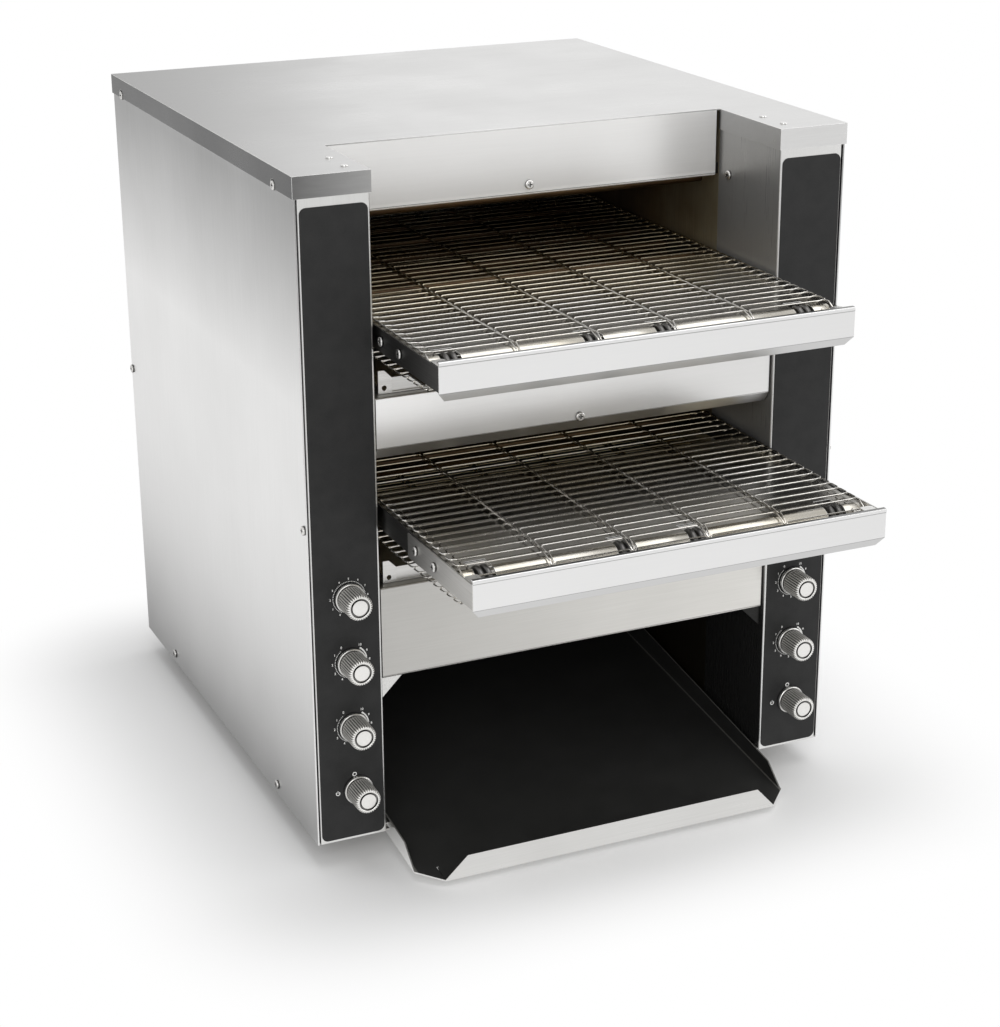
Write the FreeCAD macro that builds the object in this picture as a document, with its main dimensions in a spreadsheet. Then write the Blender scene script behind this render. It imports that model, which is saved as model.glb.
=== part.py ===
import FreeCAD
import Part
import Sketcher
import math
import operator
import os

Vector = FreeCAD.Vector
doc = FreeCAD.newDocument("ConveyorToaster")

# Every size, in millimetres, or in degrees where the name says angle.
# Heights count from the underside of the cabinet and reaches from its front face.
CABINET = {
    "cabinet_width": 470.0,
    "cabinet_depth": 490.0,
    "foot_height": 24.0,
    "foot_radius": 12.5,
    "foot_side_inset": 45.0,
    "foot_front_inset": 80.0,
    "foot_rear_inset": 50.0,
    "foot_stud_radius": 3.0,
    "sheet": 1.2,
    "skirt_height": 17.0,
    "hood_setback": 98.0,
    "column_width": 60.4,
    "column_flange": 15.0,
    "frame_flange": 14.0,
    "wall_rear_inset": 12.0,
    "lug_radius": 4.0,
    "panel_gap": 1.2,
    "running_gap": 0.3,
    "bore_clearance": 0.05,
    "hole_clearance": 0.2,
}
FRONT_PANELS = {
    "outlet_height": 134.5,
    "lower_panel_height": 77.5,
    "middle_panel_drop": 45.5,
    "middle_panel_face": 41.0,
    "middle_lip_drop": 9.0,
    "lip_setback": 6.0,
    "hood_rise": 76.0,
    "hood_height": 55.5,
    "hood_hem": 16.0,
    "panel_setback": 3.0,
    "panel_flange": 18.0,
    "shelf_rear_inset": 91.0,
    "gusset_width": 18.6,
    "gusset_drop": 18.5,
    "gusset_setback": 5.0,
    "bracket_size": 9.0,
}
CONTROLS = {
    "overlay_thickness": 0.6,
    "overlay_inner_margin": 1.9,
    "overlay_outer_margin": 0.6,
    "overlay_bottom": 2.0,
    "overlay_top_margin": 24.0,
    "overlay_corner": 5.3,
    "knob_inset": 26.4,
    "power_knob_shift": 2.4,
    "power_knob_height": 44.0,
    "lower_heat_knob_height": 100.0,
    "upper_heat_knob_height": 156.0,
    "speed_knob_height": 211.0,
    "knob_radius": 10.75,
    "knob_length": 24.0,
    "knob_gap": 0.8,
    "knob_collar_radius": 12.0,
    "knob_collar_length": 3.2,
    "knob_rim": 1.1,
    "knob_dish_radius": 7.4,
    "knob_dish_depth": 0.8,
    "spindle_radius": 3.0,
    "spindle_reach": 17.0,
    "bush_radius": 4.7,
    "control_size": 36.0,
    "control_depth": 24.0,
    "speed_control_radius": 12.0,
    "speed_control_depth": 11.0,
}
CONVEYORS = {
    "conveyor_spacing": 145.0,
    "upper_guard_reach": 121.0,
    "upper_nose_setback": 36.0,
    "upper_belt_sag": 3.5,
    "lower_conveyor_rise": 56.5,
    "lower_guard_reach": 177.5,
    "lower_nose_setback": 36.0,
    "lower_belt_sag": 8.0,
    "rear_shaft_inset": 100.0,
    "shaft_radius": 4.0,
    "shaft_bush_radius": 5.8,
    "bush_collar_radius": 7.3,
    "bush_collar": 1.5,
    "nose_bush_length": 6.0,
    "belt_radius": 13.0,
    "belt_pitch": 12.7,
    "belt_side_gap": 0.8,
    "wire_radius": 0.8,
    "link_width": 2.0,
    "link_thickness": 0.8,
    "link_inset": 71.3,
    "link_edge_inset": 0.8,
    "wheel_radius": 11.7,
    "wheel_width": 5.0,
    "wheel_hub_radius": 6.5,
    "wheel_hub_width": 12.0,
    "wheel_slot_gap": 2.0,
    "wheel_inset_left": 20.1,
    "wheel_place_left": 35.0,
    "wheel_place_right": 25.0,
    "wheel_inset_right": 24.1,
    "nose_radius": 10.8,
    "nose_top_length": 178.0,
    "nose_bottom_length": 30.0,
    "rail_gap": 3.3,
    "rail_rise": 11.5,
    "rail_drop": 7.0,
    "rail_tail": 14.0,
    "rail_boss_radius": 6.0,
    "rail_boss_first": 40.0,
    "rail_boss_second": 105.0,
    "rail_boss_third": 305.0,
    "lower_rail_setback": 52.5,
    "bracket_back": 55.0,
    "bracket_drop": 9.0,
    "bracket_height": 19.5,
    "bracket_lift": 2.5,
    "guard_rise": 16.5,
    "guard_face": 23.6,
    "guard_lip_drop": 7.0,
    "guard_lip_setback": 4.5,
    "guard_corner": 5.6,
    "guard_overhang": 1.0,
    "guard_lug_width": 11.3,
    "guard_lug_length": 19.0,
}
DRIVES = {
    "motor_drop": 70.0,
    "chain_inset": 12.0,
    "chain_width": 5.0,
    "chain_thickness": 4.0,
    "chain_gap": 0.4,
    "sprocket_radius": 13.0,
    "sprocket_width": 4.0,
    "shaft_tail": 20.0,
    "gearbox_width": 26.0,
    "gearbox_length": 50.0,
    "gearbox_height": 50.0,
    "motor_radius": 12.5,
    "motor_length": 60.0,
    "output_shaft_radius": 4.0,
    "output_shaft_depth": 16.0,
    "standoff_radius": 3.0,
    "standoff_inset": 4.0,
}
HEATING = {
    "heater_radius": 4.0,
    "heater_first": 130.0,
    "heater_last_inset": 60.0,
    "heater_tail": 8.0,
    "upper_heater_rise": 68.5,
    "lower_heater_drop": 40.0,
    "cap_radius": 7.0,
    "cap_length": 10.0,
    "heater_hole_gap": 0.4,
    "reflector_thickness": 0.8,
    "reflector_rise": 11.0,
    "reflector_front": 104.0,
    "reflector_drop": 5.6,
    "bed_front": 110.0,
    "bed_rear_inset": 35.0,
}
TRAYS = {
    "crumb_side_gap": 6.9,
    "crumb_setback": 11.0,
    "crumb_lip_height": 12.2,
    "crumb_ear_height": 18.7,
    "crumb_ear_width": 10.0,
    "crumb_ear_chamfer": 6.2,
    "crumb_hole_radius": 2.0,
    "crumb_hole_rise": 4.5,
    "crumb_side_height": 7.0,
    "crumb_rear_inset": 95.0,
    "tray_side_gap": 4.6,
    "tray_front_reach": 66.5,
    "tray_front_height": 17.0,
    "tray_corner": 19.0,
    "tray_rear_inset": 190.0,
    "tray_rise": 44.0,
    "tray_wall": 22.0,
    "tray_lip_height": 20.0,
    "tray_lip_lean": 3.5,
    "tray_lip_mitre": 19.3,
    "tray_flange": 3.6,
    "tray_flange_front": 8.0,
    "tray_well_tail": 12.0,
    "tray_well_gap": 1.4,
    "chute_top_drop": 75.0,
    "chute_bend_height": 200.0,
    "chute_bend_radius": 150.0,
    "chute_bend_angle": 80.0,
}
REAR = {
    "louvre_length": 120.0,
    "louvre_height": 4.0,
    "louvre_step": 14.0,
    "louvre_top_drop": 75.0,
    "louvre_inset": 14.6,
    "fan_height": 66.0,
    "fan_size": 80.0,
    "fan_depth": 25.0,
    "fan_hole_radius": 37.0,
    "fan_hub_radius": 15.0,
    "fan_blade_length": 19.5,
    "fan_blade_depth": 12.0,
    "fan_arm_width": 5.0,
    "fan_arm_depth": 4.0,
    "fan_pin_radius": 2.0,
    "fan_pin_length": 15.0,
    "fan_slot_height": 5.0,
    "fan_slot_step": 10.0,
    "gland_inset": 85.0,
    "gland_height": 45.0,
    "gland_radius": 8.0,
    "gland_bore_radius": 4.2,
    "gland_collar_radius": 11.5,
    "gland_length": 12.0,
    "gland_tail": 10.0,
    "gland_nut_length": 5.0,
    "terminal_width": 44.0,
    "terminal_depth": 22.0,
    "terminal_height": 20.0,
    "terminal_rear_inset": 70.0,
    "terminal_hole_radius": 2.6,
    "terminal_pitch": 14.0,
    "board_thickness": 1.6,
    "board_length": 70.0,
    "board_height": 70.0,
    "board_bottom": 260.0,
    "board_front": 24.0,
    "board_post": 8.0,
}
FASTENERS = {
    "screw_radius": 3.8,
    "screw_head": 2.0,
    "screw_shank_radius": 1.8,
    "screw_shank_length": 5.0,
    "screw_recess_width": 1.0,
    "screw_recess_length": 4.2,
    "screw_recess_depth": 0.9,
    "screw_notch_radius": 5.0,
    "edge_screw_inset": 5.0,
    "front_screw_height": 270.0,
    "rear_screw_height": 268.0,
    "bottom_screw_height": 9.3,
    "bottom_screw_front": 98.0,
    "bottom_screw_rear": 395.0,
    "top_screw_drop": 14.5,
    "top_screw_front": 42.0,
    "top_screw_rear": 459.0,
    "hood_screw_rise": 8.5,
    "middle_screw_rise": 12.0,
    "wall_screw_back": 80.6,
    "wall_screw_drop": 52.2,
    "upper_rail_screw_front": 44.5,
    "upper_rail_screw_rear": 8.0,
    "upper_rail_screw_rise": 2.3,
    "lower_rail_screw_front": 106.5,
    "lower_rail_screw_rear": 71.0,
    "lower_rail_screw_rise": 1.5,
    "rivet_radius": 3.0,
    "rivet_height": 1.0,
    "rivet_inset": 12.5,
    "rivet_front": 18.0,
    "rivet_rear": 50.0,
}
GROUPS = (CABINET, FRONT_PANELS, CONTROLS, CONVEYORS, DRIVES, HEATING, TRAYS, REAR, FASTENERS)

# Counts, which have no unit.
HEATER_COUNT = 5
LOUVRE_COUNT = 10
FAN_SLOT_COUNT = 7
FAN_BLADE_COUNT = 7
TERMINAL_COUNT = 3
BLADE_PITCH_ANGLE = 38.0


def fill_sheet():
    """Writes the named sizes into the document's sheet, one row each."""
    page = doc.addObject("Spreadsheet::Sheet", "Sizes")
    row = 0
    for table in GROUPS:
        for name, value in table.items():
            row += 1
            page.set(f"A{row}", name)
            page.set(f"B{row}", str(value))
            page.setAlias(f"B{row}", name)
    doc.recompute()
    return page


class Size:
    """A length that knows its value now and the sheet expression that it follows."""

    def __init__(self, value, words):
        self.value = float(value)
        self.words = words

    def __float__(self):
        return self.value

    def __add__(self, other):
        return joined(self, "+", other)

    def __radd__(self, other):
        return joined(other, "+", self)

    def __sub__(self, other):
        return joined(self, "-", other)

    def __rsub__(self, other):
        return joined(other, "-", self)

    def __mul__(self, other):
        return joined(self, "*", other)

    def __rmul__(self, other):
        return joined(other, "*", self)

    def __truediv__(self, other):
        return joined(self, "/", other)

    def __neg__(self):
        return joined(0, "-", self)


WORK = {"+": operator.add, "-": operator.sub, "*": operator.mul, "/": operator.truediv}


def words_of(size):
    """The expression of a size, or the plain number itself."""
    return size.words if isinstance(size, Size) else str(size)


def joined(left, sign, right):
    """Two sizes joined by plus, minus, times or over."""
    value = WORK[sign](float(left), float(right))
    return Size(value, f"({words_of(left)} {sign} {words_of(right)})")


class SheetSizes:
    """The sheet's sizes by name, such as s.sheet for the gauge of the steel."""

    def __init__(self, page):
        self.page = page

    def __getattr__(self, name):
        return Size(self.page.get(name), f"Sizes.{name}")


s = SheetSizes(fill_sheet())

# Main planes of the cabinet, seen from the front: x to the right, y to the back, z up.
half = s.cabinet_width / 2
lower_panel_top = s.outlet_height + s.lower_panel_height
lower_conveyor = lower_panel_top + s.lower_conveyor_rise
upper_conveyor = lower_conveyor + s.conveyor_spacing
middle_panel_top = upper_conveyor - s.middle_panel_drop
middle_panel_lip = middle_panel_top - s.middle_panel_face
middle_panel_bottom = middle_panel_lip - s.middle_lip_drop
hood_bottom = upper_conveyor + s.hood_rise
cabinet_height = hood_bottom + s.hood_height
skin_out = half - s.sheet
skin_in = skin_out - s.sheet
bay = half - s.column_width
wall_out = bay + s.sheet
rear = s.cabinet_depth - s.sheet
rear_in = rear - s.sheet
roof = cabinet_height - s.sheet
rail_out = bay - s.rail_gap
rail_in = rail_out - s.sheet
rear_shaft = s.cabinet_depth - s.rear_shaft_inset
belt_half = rail_in - s.belt_side_gap
guard_half = rail_out + s.guard_overhang
crumb_half = bay - s.crumb_side_gap
tray_half = bay - s.tray_side_gap
tray_rear = s.cabinet_depth - s.tray_rear_inset
gland_place = half - s.gland_inset
heater_step = (rear_shaft - s.heater_last_inset - s.heater_first) / (HEATER_COUNT - 1)
hole_radius = s.screw_shank_radius + s.hole_clearance

# The origin is under the middle of the whole toaster, on the counter.
front_plane = (s.lower_guard_reach - s.cabinet_depth - s.gland_length + s.sheet) / 2

corners = {}
nodes = []


def bind(feature, field, size):
    """Ties a field to the sheet, and leaves it alone where the size is plain zero."""
    if isinstance(size, Size):
        feature.setExpression(field, size.words)


def put(feature, spot):
    """Places a feature's own corner or centre at a spot of the cabinet."""
    for axis, size in zip("xyz", spot):
        bind(feature, f"Placement.Base.{axis}", size)
    corners[feature.Name] = spot
    return feature


def piece(label, feature, at=(0, 0, 0)):
    """Names a finished sub-part and stands it on its place above the counter."""
    x, y, z = corners.get(feature.Name, at)
    feature.Label = label
    put(feature, (x, y + front_plane, z + s.foot_height))
    nodes.append(feature)
    return feature


def ordered(span):
    """A span from its lower to its higher end, so that left and right share one call."""
    return span if float(span[0]) <= float(span[1]) else (span[1], span[0])


def block(x, y, z):
    """A box between three pairs of planes."""
    spans = [ordered(span) for span in (x, y, z)]
    box = doc.addObject("Part::Box", "Block")
    for field, (low, high) in zip(("Length", "Width", "Height"), spans):
        bind(box, field, high - low)
    return put(box, [low for low, high in spans])


TURNS = {
    "x": FreeCAD.Rotation(Vector(0, 1, 0), 90),
    "y": FreeCAD.Rotation(Vector(1, 0, 0), -90),
    "z": FreeCAD.Rotation(),
}


def along(axis, span, centre):
    """The spot at the low end of a span along an axis, with the other two coordinates."""
    spot = list(centre)
    spot.insert("xyz".index(axis), span)
    return spot


def rod(axis, radius, span, centre):
    """A round bar along an axis; centre holds the two other coordinates in order."""
    low, high = ordered(span)
    bar = doc.addObject("Part::Cylinder", "Rod")
    bar.Placement = FreeCAD.Placement(Vector(), TURNS[axis])
    bind(bar, "Radius", radius)
    bind(bar, "Height", high - low)
    return put(bar, along(axis, low, centre))


def cut(base, *tools):
    """One solid less others."""
    if not tools:
        return base
    result = doc.addObject("Part::Cut", "Cut")
    result.Base = base
    result.Tool = tools[0] if len(tools) == 1 else fuse(*tools)
    return result


def fuse(*parts):
    """Solids joined into one."""
    result = doc.addObject("Part::MultiFuse", "Fusion")
    result.Shapes = list(parts)
    return result


def group(*parts):
    """Separate solids that share one sub-part, such as a set of equal fasteners."""
    result = doc.addObject("Part::Compound", "Group")
    result.Links = list(parts)
    return result


PLANES = {"xy": "XY_Plane", "xz": "XZ_Plane", "yz": "YZ_Plane"}


def draw(body, plane, offset, points):
    """A closed outline of straight lines on one of a body's own planes."""
    sketch = body.newObject("Sketcher::SketchObject", "Outline")
    support = next(p for p in body.Origin.OriginFeatures if p.Role == PLANES[plane])
    sketch.AttachmentSupport = [(support, "")]
    sketch.MapMode = "FlatFace"
    bind(sketch, "AttachmentOffset.Base.z", offset)
    ends = [Vector(float(a), float(b), 0) for a, b in points]
    for start, end in zip(ends, ends[1:] + ends[:1]):
        sketch.addGeometry(Part.LineSegment(start, end), False)
    for index, point in enumerate(points):
        before = (index - 1) % len(points)
        sketch.addConstraint(Sketcher.Constraint("Coincident", before, 2, index, 1))
        for kind, ruler, size in zip(("DistanceX", "DistanceY"), (-2, -1), point):
            if isinstance(size, Size):
                rule = Sketcher.Constraint(kind, -1, 1, index, 1, float(size))
                number = sketch.addConstraint(rule)
                bind(sketch, f"Constraints[{number}]", size)
            else:
                sketch.addConstraint(Sketcher.Constraint("PointOnObject", index, 1, ruler))
    return sketch


def bent(plane, points, span, corner_radius=None, rounded=None):
    """A pad of an outline between two planes, with chosen long edges rounded."""
    low, high = ordered(span)
    body = doc.addObject("PartDesign::Body", "Body")
    offset = (0 - high) if plane == "xz" else low
    sketch = draw(body, plane, offset, points)
    pad = body.newObject("PartDesign::Pad", "Pad")
    pad.Profile = sketch
    bind(pad, "Length", high - low)
    if corner_radius is not None:
        doc.recompute()
        fillet = body.newObject("PartDesign::Fillet", "Corners")
        chosen = [f"Edge{n}" for n, edge in enumerate(pad.Shape.Edges, 1) if rounded(edge)]
        fillet.Base = (pad, chosen)
        bind(fillet, "Radius", corner_radius)
    return body


def upright(edge):
    """Whether an edge runs along y, as the corners of a front plate do."""
    way = edge.tangentAt(edge.FirstParameter)
    return abs(way.y) > abs(way.x) + abs(way.z)


def shaped(shape):
    """A computed shape as an object of the document."""
    feature = doc.addObject("Part::Feature", "Shape")
    feature.Shape = shape
    return feature


def point(x, y, z):
    """A vector of plain numbers from three sizes."""
    return Vector(float(x), float(y), float(z))


def loop_wire(first, second, radius, sag):
    """A belt's path in the y-z plane round two equal wheels, its lower run sagging."""
    a = Vector(0, float(first[0]), float(first[1]))
    b = Vector(0, float(second[0]), float(second[1]))
    ahead = (b - a).normalize()
    out = Vector(1, 0, 0).cross(ahead)
    r = float(radius)
    top = Part.LineSegment(a + out * r, b + out * r)
    end = Part.Arc(b + out * r, b + ahead * r, b - out * r)
    start = Part.Arc(a - out * r, a - ahead * r, a + out * r)
    if float(sag) == 0:
        lower = Part.LineSegment(b - out * r, a - out * r)
    else:
        low = (a + b) * 0.5 - out * (r + float(sag))
        lower = Part.Arc(b - out * r, low, a - out * r)
    return Part.Wire([top.toShape(), end.toShape(), lower.toShape(), start.toShape()])


def loop_band(first, second, inner, outer, sag, span):
    """A flat endless band between two loops, over a span of x."""
    low, high = ordered(span)
    outside = Part.Face(loop_wire(first, second, outer, sag))
    inside = Part.Face(loop_wire(first, second, inner, sag))
    band = outside.cut(inside).extrude(point(high - low, 0, 0))
    band.translate(point(low, 0, 0))
    return band


# Screws: where they sit and which way they face, as spot and outward side.

def side_screw_spots():
    """The edge screws of one side panel, as reach and height."""
    return [
        (s.top_screw_rear, cabinet_height - s.top_screw_drop),
        (s.top_screw_front, cabinet_height - s.top_screw_drop),
        (s.edge_screw_inset, s.front_screw_height),
        (s.cabinet_depth - s.edge_screw_inset, s.rear_screw_height),
        (s.bottom_screw_rear, s.bottom_screw_height),
        (s.bottom_screw_front, s.bottom_screw_height),
    ]


def heater_reaches():
    """How far behind the cabinet's face each heating tube lies."""
    return [s.heater_first + heater_step * n for n in range(HEATER_COUNT)]


LINES = {
    "upper": {
        "height": upper_conveyor,
        "nose": s.upper_guard_reach - s.upper_nose_setback,
        "guard": s.upper_guard_reach,
        "sag": s.upper_belt_sag,
        "heater": upper_conveyor + s.upper_heater_rise,
        "shelf": middle_panel_top,
        "drive_side": 1,
        "screws": (s.upper_rail_screw_front, s.upper_rail_screw_rear),
        "screw_rise": s.upper_rail_screw_rise,
    },
    "lower": {
        "height": lower_conveyor,
        "nose": s.lower_guard_reach - s.lower_nose_setback,
        "guard": s.lower_guard_reach,
        "sag": s.lower_belt_sag,
        "heater": middle_panel_top - s.lower_heater_drop,
        "shelf": lower_panel_top,
        "drive_side": -1,
        "screws": (s.lower_rail_screw_front, s.lower_rail_screw_rear),
        "screw_rise": s.lower_rail_screw_rise,
    },
}
SIDES = {"left": -1, "right": 1}


def base_pan():
    """The floor of the cabinet, open at the front for the tray, with upturned sides."""
    floor = block((-skin_in, skin_in), (s.sheet, rear_in), (0, s.sheet))
    well_side = tray_half + s.tray_well_gap
    well = block((-well_side, well_side), (0, tray_rear + s.tray_well_tail), (-s.sheet, s.sheet * 2))
    flange_top = s.sheet + s.frame_flange
    start = s.sheet + s.column_flange + s.panel_gap
    parts = [floor]
    for side in SIDES.values():
        flange = block(
            (side * (skin_in - s.sheet), side * skin_in), (start, rear_in), (s.sheet, flange_top)
        )
        parts.append(flange)
    holes = [rod("z", s.foot_stud_radius + s.hole_clearance, (-s.sheet, s.sheet * 2), spot)
             for spot in foot_spots()]
    for side in SIDES.values():
        for reach, height in side_screw_spots()[-2:]:
            span = (side * (skin_in - s.sheet * 2), side * (skin_in + s.sheet))
            holes.append(rod("x", hole_radius, span, (reach, height)))
    return piece("base_pan", cut(fuse(*parts), well, *holes))


def foot_spots():
    """The four feet, as place across and reach."""
    across = half - s.foot_side_inset
    far = s.cabinet_depth - s.foot_rear_inset
    return [(side * across, reach) for side in (-1, 1) for reach in (s.foot_front_inset, far)]


def rubber_feet():
    """Four round feet, each with its stud through the floor."""
    feet = []
    for spot in foot_spots():
        pad = rod("z", s.foot_radius, (-s.foot_height, 0), spot)
        stud = rod("z", s.foot_stud_radius, (0, s.sheet * 4), spot)
        feet.append(fuse(pad, stud))
    return piece("rubber_feet", group(*feet))


def side_panel(name, side):
    """A flat side skin with its edges notched round the screws at front and rear."""
    skin = block((side * skin_in, side * skin_out), (0, rear), (0, roof))
    span = (side * (skin_in - s.sheet), side * (skin_out + s.sheet))
    holes = [rod("x", hole_radius, span, spot) for spot in side_screw_spots()]
    return piece(f"{name}_side_panel", cut(skin, *holes))


def top_cover():
    """The roof: a plate with a notch over the upper belt and a skirt on its edges."""
    notch = bay - s.sheet
    front = -s.sheet
    outline = [
        (-half, front), (-notch, front), (-notch, s.hood_setback), (notch, s.hood_setback),
        (notch, front), (half, front), (half, s.cabinet_depth), (-half, s.cabinet_depth),
    ]
    hollow = [
        (-skin_out, 0), (-bay, 0), (-bay, s.hood_setback), (bay, s.hood_setback),
        (bay, 0), (skin_out, 0), (skin_out, rear), (-skin_out, rear),
    ]
    skirt = cabinet_height - s.skirt_height
    shell = bent("xy", outline, (skirt, cabinet_height))
    inside = bent("xy", hollow, (skirt - s.sheet, roof))
    holes = []
    for side in SIDES.values():
        span = (side * (skin_out - s.sheet), side * (half + s.sheet))
        for spot in side_screw_spots()[:2]:
            holes.append(rod("x", s.screw_notch_radius, span, spot))
        for spot in rivet_spots(side):
            holes.append(rod("z", hole_radius, (roof - s.sheet, cabinet_height + s.sheet), spot))
    return piece("top_cover", cut(shell, inside, *holes))


def rivet_spots(side):
    """The two rivets on top of a column, as place across and reach."""
    across = side * (bay + s.rivet_inset)
    return [(across, s.rivet_front), (across, s.rivet_rear)]


def cover_rivets():
    """Low round rivet heads on the cover, each with its shank."""
    rivets = []
    for side in SIDES.values():
        for spot in rivet_spots(side):
            top = cabinet_height + s.rivet_height
            head = rod("z", s.rivet_radius, (cabinet_height, top), spot)
            shank = rod("z", s.screw_shank_radius, (roof, cabinet_height), spot)
            rivets.append(fuse(head, shank))
    return piece("cover_rivets", group(*rivets))


def back_panel():
    """The rear skin with louvres, air slots for the fan and the gland's hole."""
    skin = block((-skin_in, skin_in), (rear_in, rear), (0, roof))
    span = (rear_in - s.sheet, rear + s.sheet)
    openings = []
    for side in SIDES.values():
        middle = side * (bay - s.louvre_inset - s.louvre_length / 2)
        across = (middle - s.louvre_length / 2, middle + s.louvre_length / 2)
        for n in range(LOUVRE_COUNT):
            top = cabinet_height - s.louvre_top_drop - s.louvre_step * n
            openings.append(block(across, span, (top - s.louvre_height, top)))
    for n in range(FAN_SLOT_COUNT):
        rise = s.fan_slot_step * (n - (FAN_SLOT_COUNT - 1) / 2)
        reach = math.sqrt(1 - (float(rise) / float(s.fan_hole_radius)) ** 2)
        width = s.fan_hole_radius * round(reach, 3)
        centre = s.fan_height + rise
        height = (centre - s.fan_slot_height / 2, centre + s.fan_slot_height / 2)
        openings.append(block((-width, width), span, height))
    gland = rod("y", s.gland_radius + s.hole_clearance, span, (gland_place, s.gland_height))
    flanges = []
    for side in SIDES.values():
        deep = rear_in - s.column_flange
        wall = block((side * (skin_in - s.sheet), side * skin_in), (deep, rear_in),
                     (s.sheet + s.frame_flange + s.panel_gap, roof - s.skirt_height))
        reach, height = side_screw_spots()[3]
        across = (side * (skin_in - s.sheet * 2), side * (skin_in + s.sheet))
        flanges.append(wall)
        openings.append(rod("x", hole_radius, across, (reach, height)))
    return piece("back_panel", cut(fuse(skin, *flanges), *openings, gland))


def front_column(name, side):
    """One front post: its face, the return beside the chamber and the outer return."""
    face = block((side * bay, side * skin_in), (0, s.sheet), (0, roof))
    deep = s.hood_setback - s.running_gap
    inner = block((side * bay, side * wall_out), (s.sheet, deep), (s.sheet, roof))
    outer = block((side * (skin_in - s.sheet), side * skin_in),
                  (s.sheet, s.sheet + s.column_flange), (s.sheet, roof))
    holes = [rod("y", s.bush_radius + s.hole_clearance, (-s.sheet, s.sheet * 2), spot)
             for kind, spot in knob_spots(side)]
    across = (side * (skin_in - s.sheet * 2), side * (skin_in + s.sheet))
    holes.append(rod("x", hole_radius, across, side_screw_spots()[2]))
    across = (side * (bay - s.sheet), side * (wall_out + s.sheet))
    holes.append(rod("x", hole_radius, across, (s.wall_screw_back, cabinet_height - s.wall_screw_drop)))
    return piece(f"{name}_front_column", cut(fuse(face, inner, outer), *holes))


KNOBS = ("power", "lower_heat", "upper_heat", "speed")


def knob_spots(side):
    """The four knobs of one column, by kind, as place across and height."""
    across = side * (bay + s.knob_inset)
    heights = (
        s.power_knob_height, s.lower_heat_knob_height,
        s.upper_heat_knob_height, s.speed_knob_height,
    )
    places = (across + s.power_knob_shift, across, across, across)
    return list(zip(KNOBS, zip(places, heights)))


def control_overlay(name, side):
    """The thin dark label plate on a column, with rounded corners."""
    inner = side * (bay + s.overlay_inner_margin)
    outer = side * (skin_in - s.overlay_outer_margin)
    low, high = ordered((inner, outer))
    outline = [
        (low, s.overlay_bottom), (high, s.overlay_bottom),
        (high, cabinet_height - s.overlay_top_margin), (low, cabinet_height - s.overlay_top_margin),
    ]
    plate = bent("xz", outline, (-s.overlay_thickness, 0), s.overlay_corner, upright)
    holes = [rod("y", s.bush_radius + s.hole_clearance, (-s.sheet, s.sheet), spot)
             for kind, spot in knob_spots(side)]
    return piece(f"{name}_control_overlay", cut(plate, *holes))


def knob(name, kind, spot):
    """A turned knob with a base collar, a bevelled rim and its own spindle."""
    back = -s.overlay_thickness - s.knob_gap
    face = back - s.knob_length
    outline = [
        (0, s.spindle_reach),
        (s.spindle_radius, s.spindle_reach),
        (s.spindle_radius, back),
        (s.knob_collar_radius, back),
        (s.knob_collar_radius, back - s.knob_collar_length),
        (s.knob_radius, back - s.knob_collar_length),
        (s.knob_radius, face + s.knob_rim),
        (s.knob_radius - s.knob_rim, face),
        (s.knob_dish_radius, face),
        (s.knob_dish_radius, face + s.knob_dish_depth),
        (0, face + s.knob_dish_depth),
    ]
    body = doc.addObject("PartDesign::Body", "Knob")
    sketch = draw(body, "xy", 0, outline)
    turn = body.newObject("PartDesign::Revolution", "Turning")
    turn.Profile = sketch
    turn.ReferenceAxis = (sketch, ["V_Axis"])
    turn.Angle = 360.0
    across, height = spot
    return piece(f"{name}_{kind}_knob", body, (across, 0, height))


def threaded_neck(spot):
    """The round neck that holds a control behind the column's face."""
    return rod("y", s.bush_radius, (-s.overlay_thickness, s.sheet), spot)


def spindle_bore(spot):
    """The bore that a knob's spindle turns in."""
    reach = s.spindle_reach + s.running_gap
    return rod("y", s.spindle_radius + s.bore_clearance, (-s.sheet, reach), spot)


def knob_controls():
    """Behind each knob a square switch, or a round potentiometer for the speed."""
    bodies = []
    for side in SIDES.values():
        for kind, spot in knob_spots(side):
            if kind == "speed":
                deep = s.sheet + s.speed_control_depth
                case = rod("y", s.speed_control_radius, (s.sheet, deep), spot)
            else:
                across, height = spot
                arm = s.control_size / 2
                case = block((across - arm, across + arm), (s.sheet, s.sheet + s.control_depth),
                             (height - arm, height + arm))
            bodies.append(cut(fuse(case, threaded_neck(spot)), spindle_bore(spot)))
    return piece("knob_controls", group(*bodies))


def hood_panel():
    """The short front wall over the upper belt, its lower edge hemmed back."""
    front = s.hood_setback
    outline = [
        (front, hood_bottom),
        (front + s.hood_hem, hood_bottom),
        (front + s.hood_hem, hood_bottom + s.sheet),
        (front + s.sheet, hood_bottom + s.sheet),
        (front + s.sheet, roof),
        (front, roof),
    ]
    width = bay - s.panel_gap
    plate = bent("yz", outline, (-width, width))
    span = (front - s.sheet, front + s.sheet * 2)
    return piece("hood_panel", cut(plate, front_screw_hole(span, hood_bottom + s.hood_screw_rise)))


def front_screw_hole(span, height):
    """A screw hole on the middle line of a front panel."""
    return rod("y", hole_radius, span, (0, height))


def middle_front_panel():
    """The panel between the two belts: a face, a shelf edge and a lip bent back below."""
    front = s.panel_setback
    back = front + s.sheet
    outline = [
        (front, middle_panel_top),
        (front, middle_panel_lip),
        (front + s.lip_setback, middle_panel_bottom),
        (back + s.lip_setback, middle_panel_bottom),
        (back, middle_panel_lip),
        (back, middle_panel_top - s.sheet),
        (front + s.panel_flange, middle_panel_top - s.sheet),
        (front + s.panel_flange, middle_panel_top),
    ]
    width = bay - s.panel_gap
    plate = bent("yz", outline, (-width, width))
    hole = front_screw_hole((0, back + s.sheet), middle_panel_bottom + s.middle_screw_rise)
    return piece("middle_front_panel", cut(plate, hole))


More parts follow.
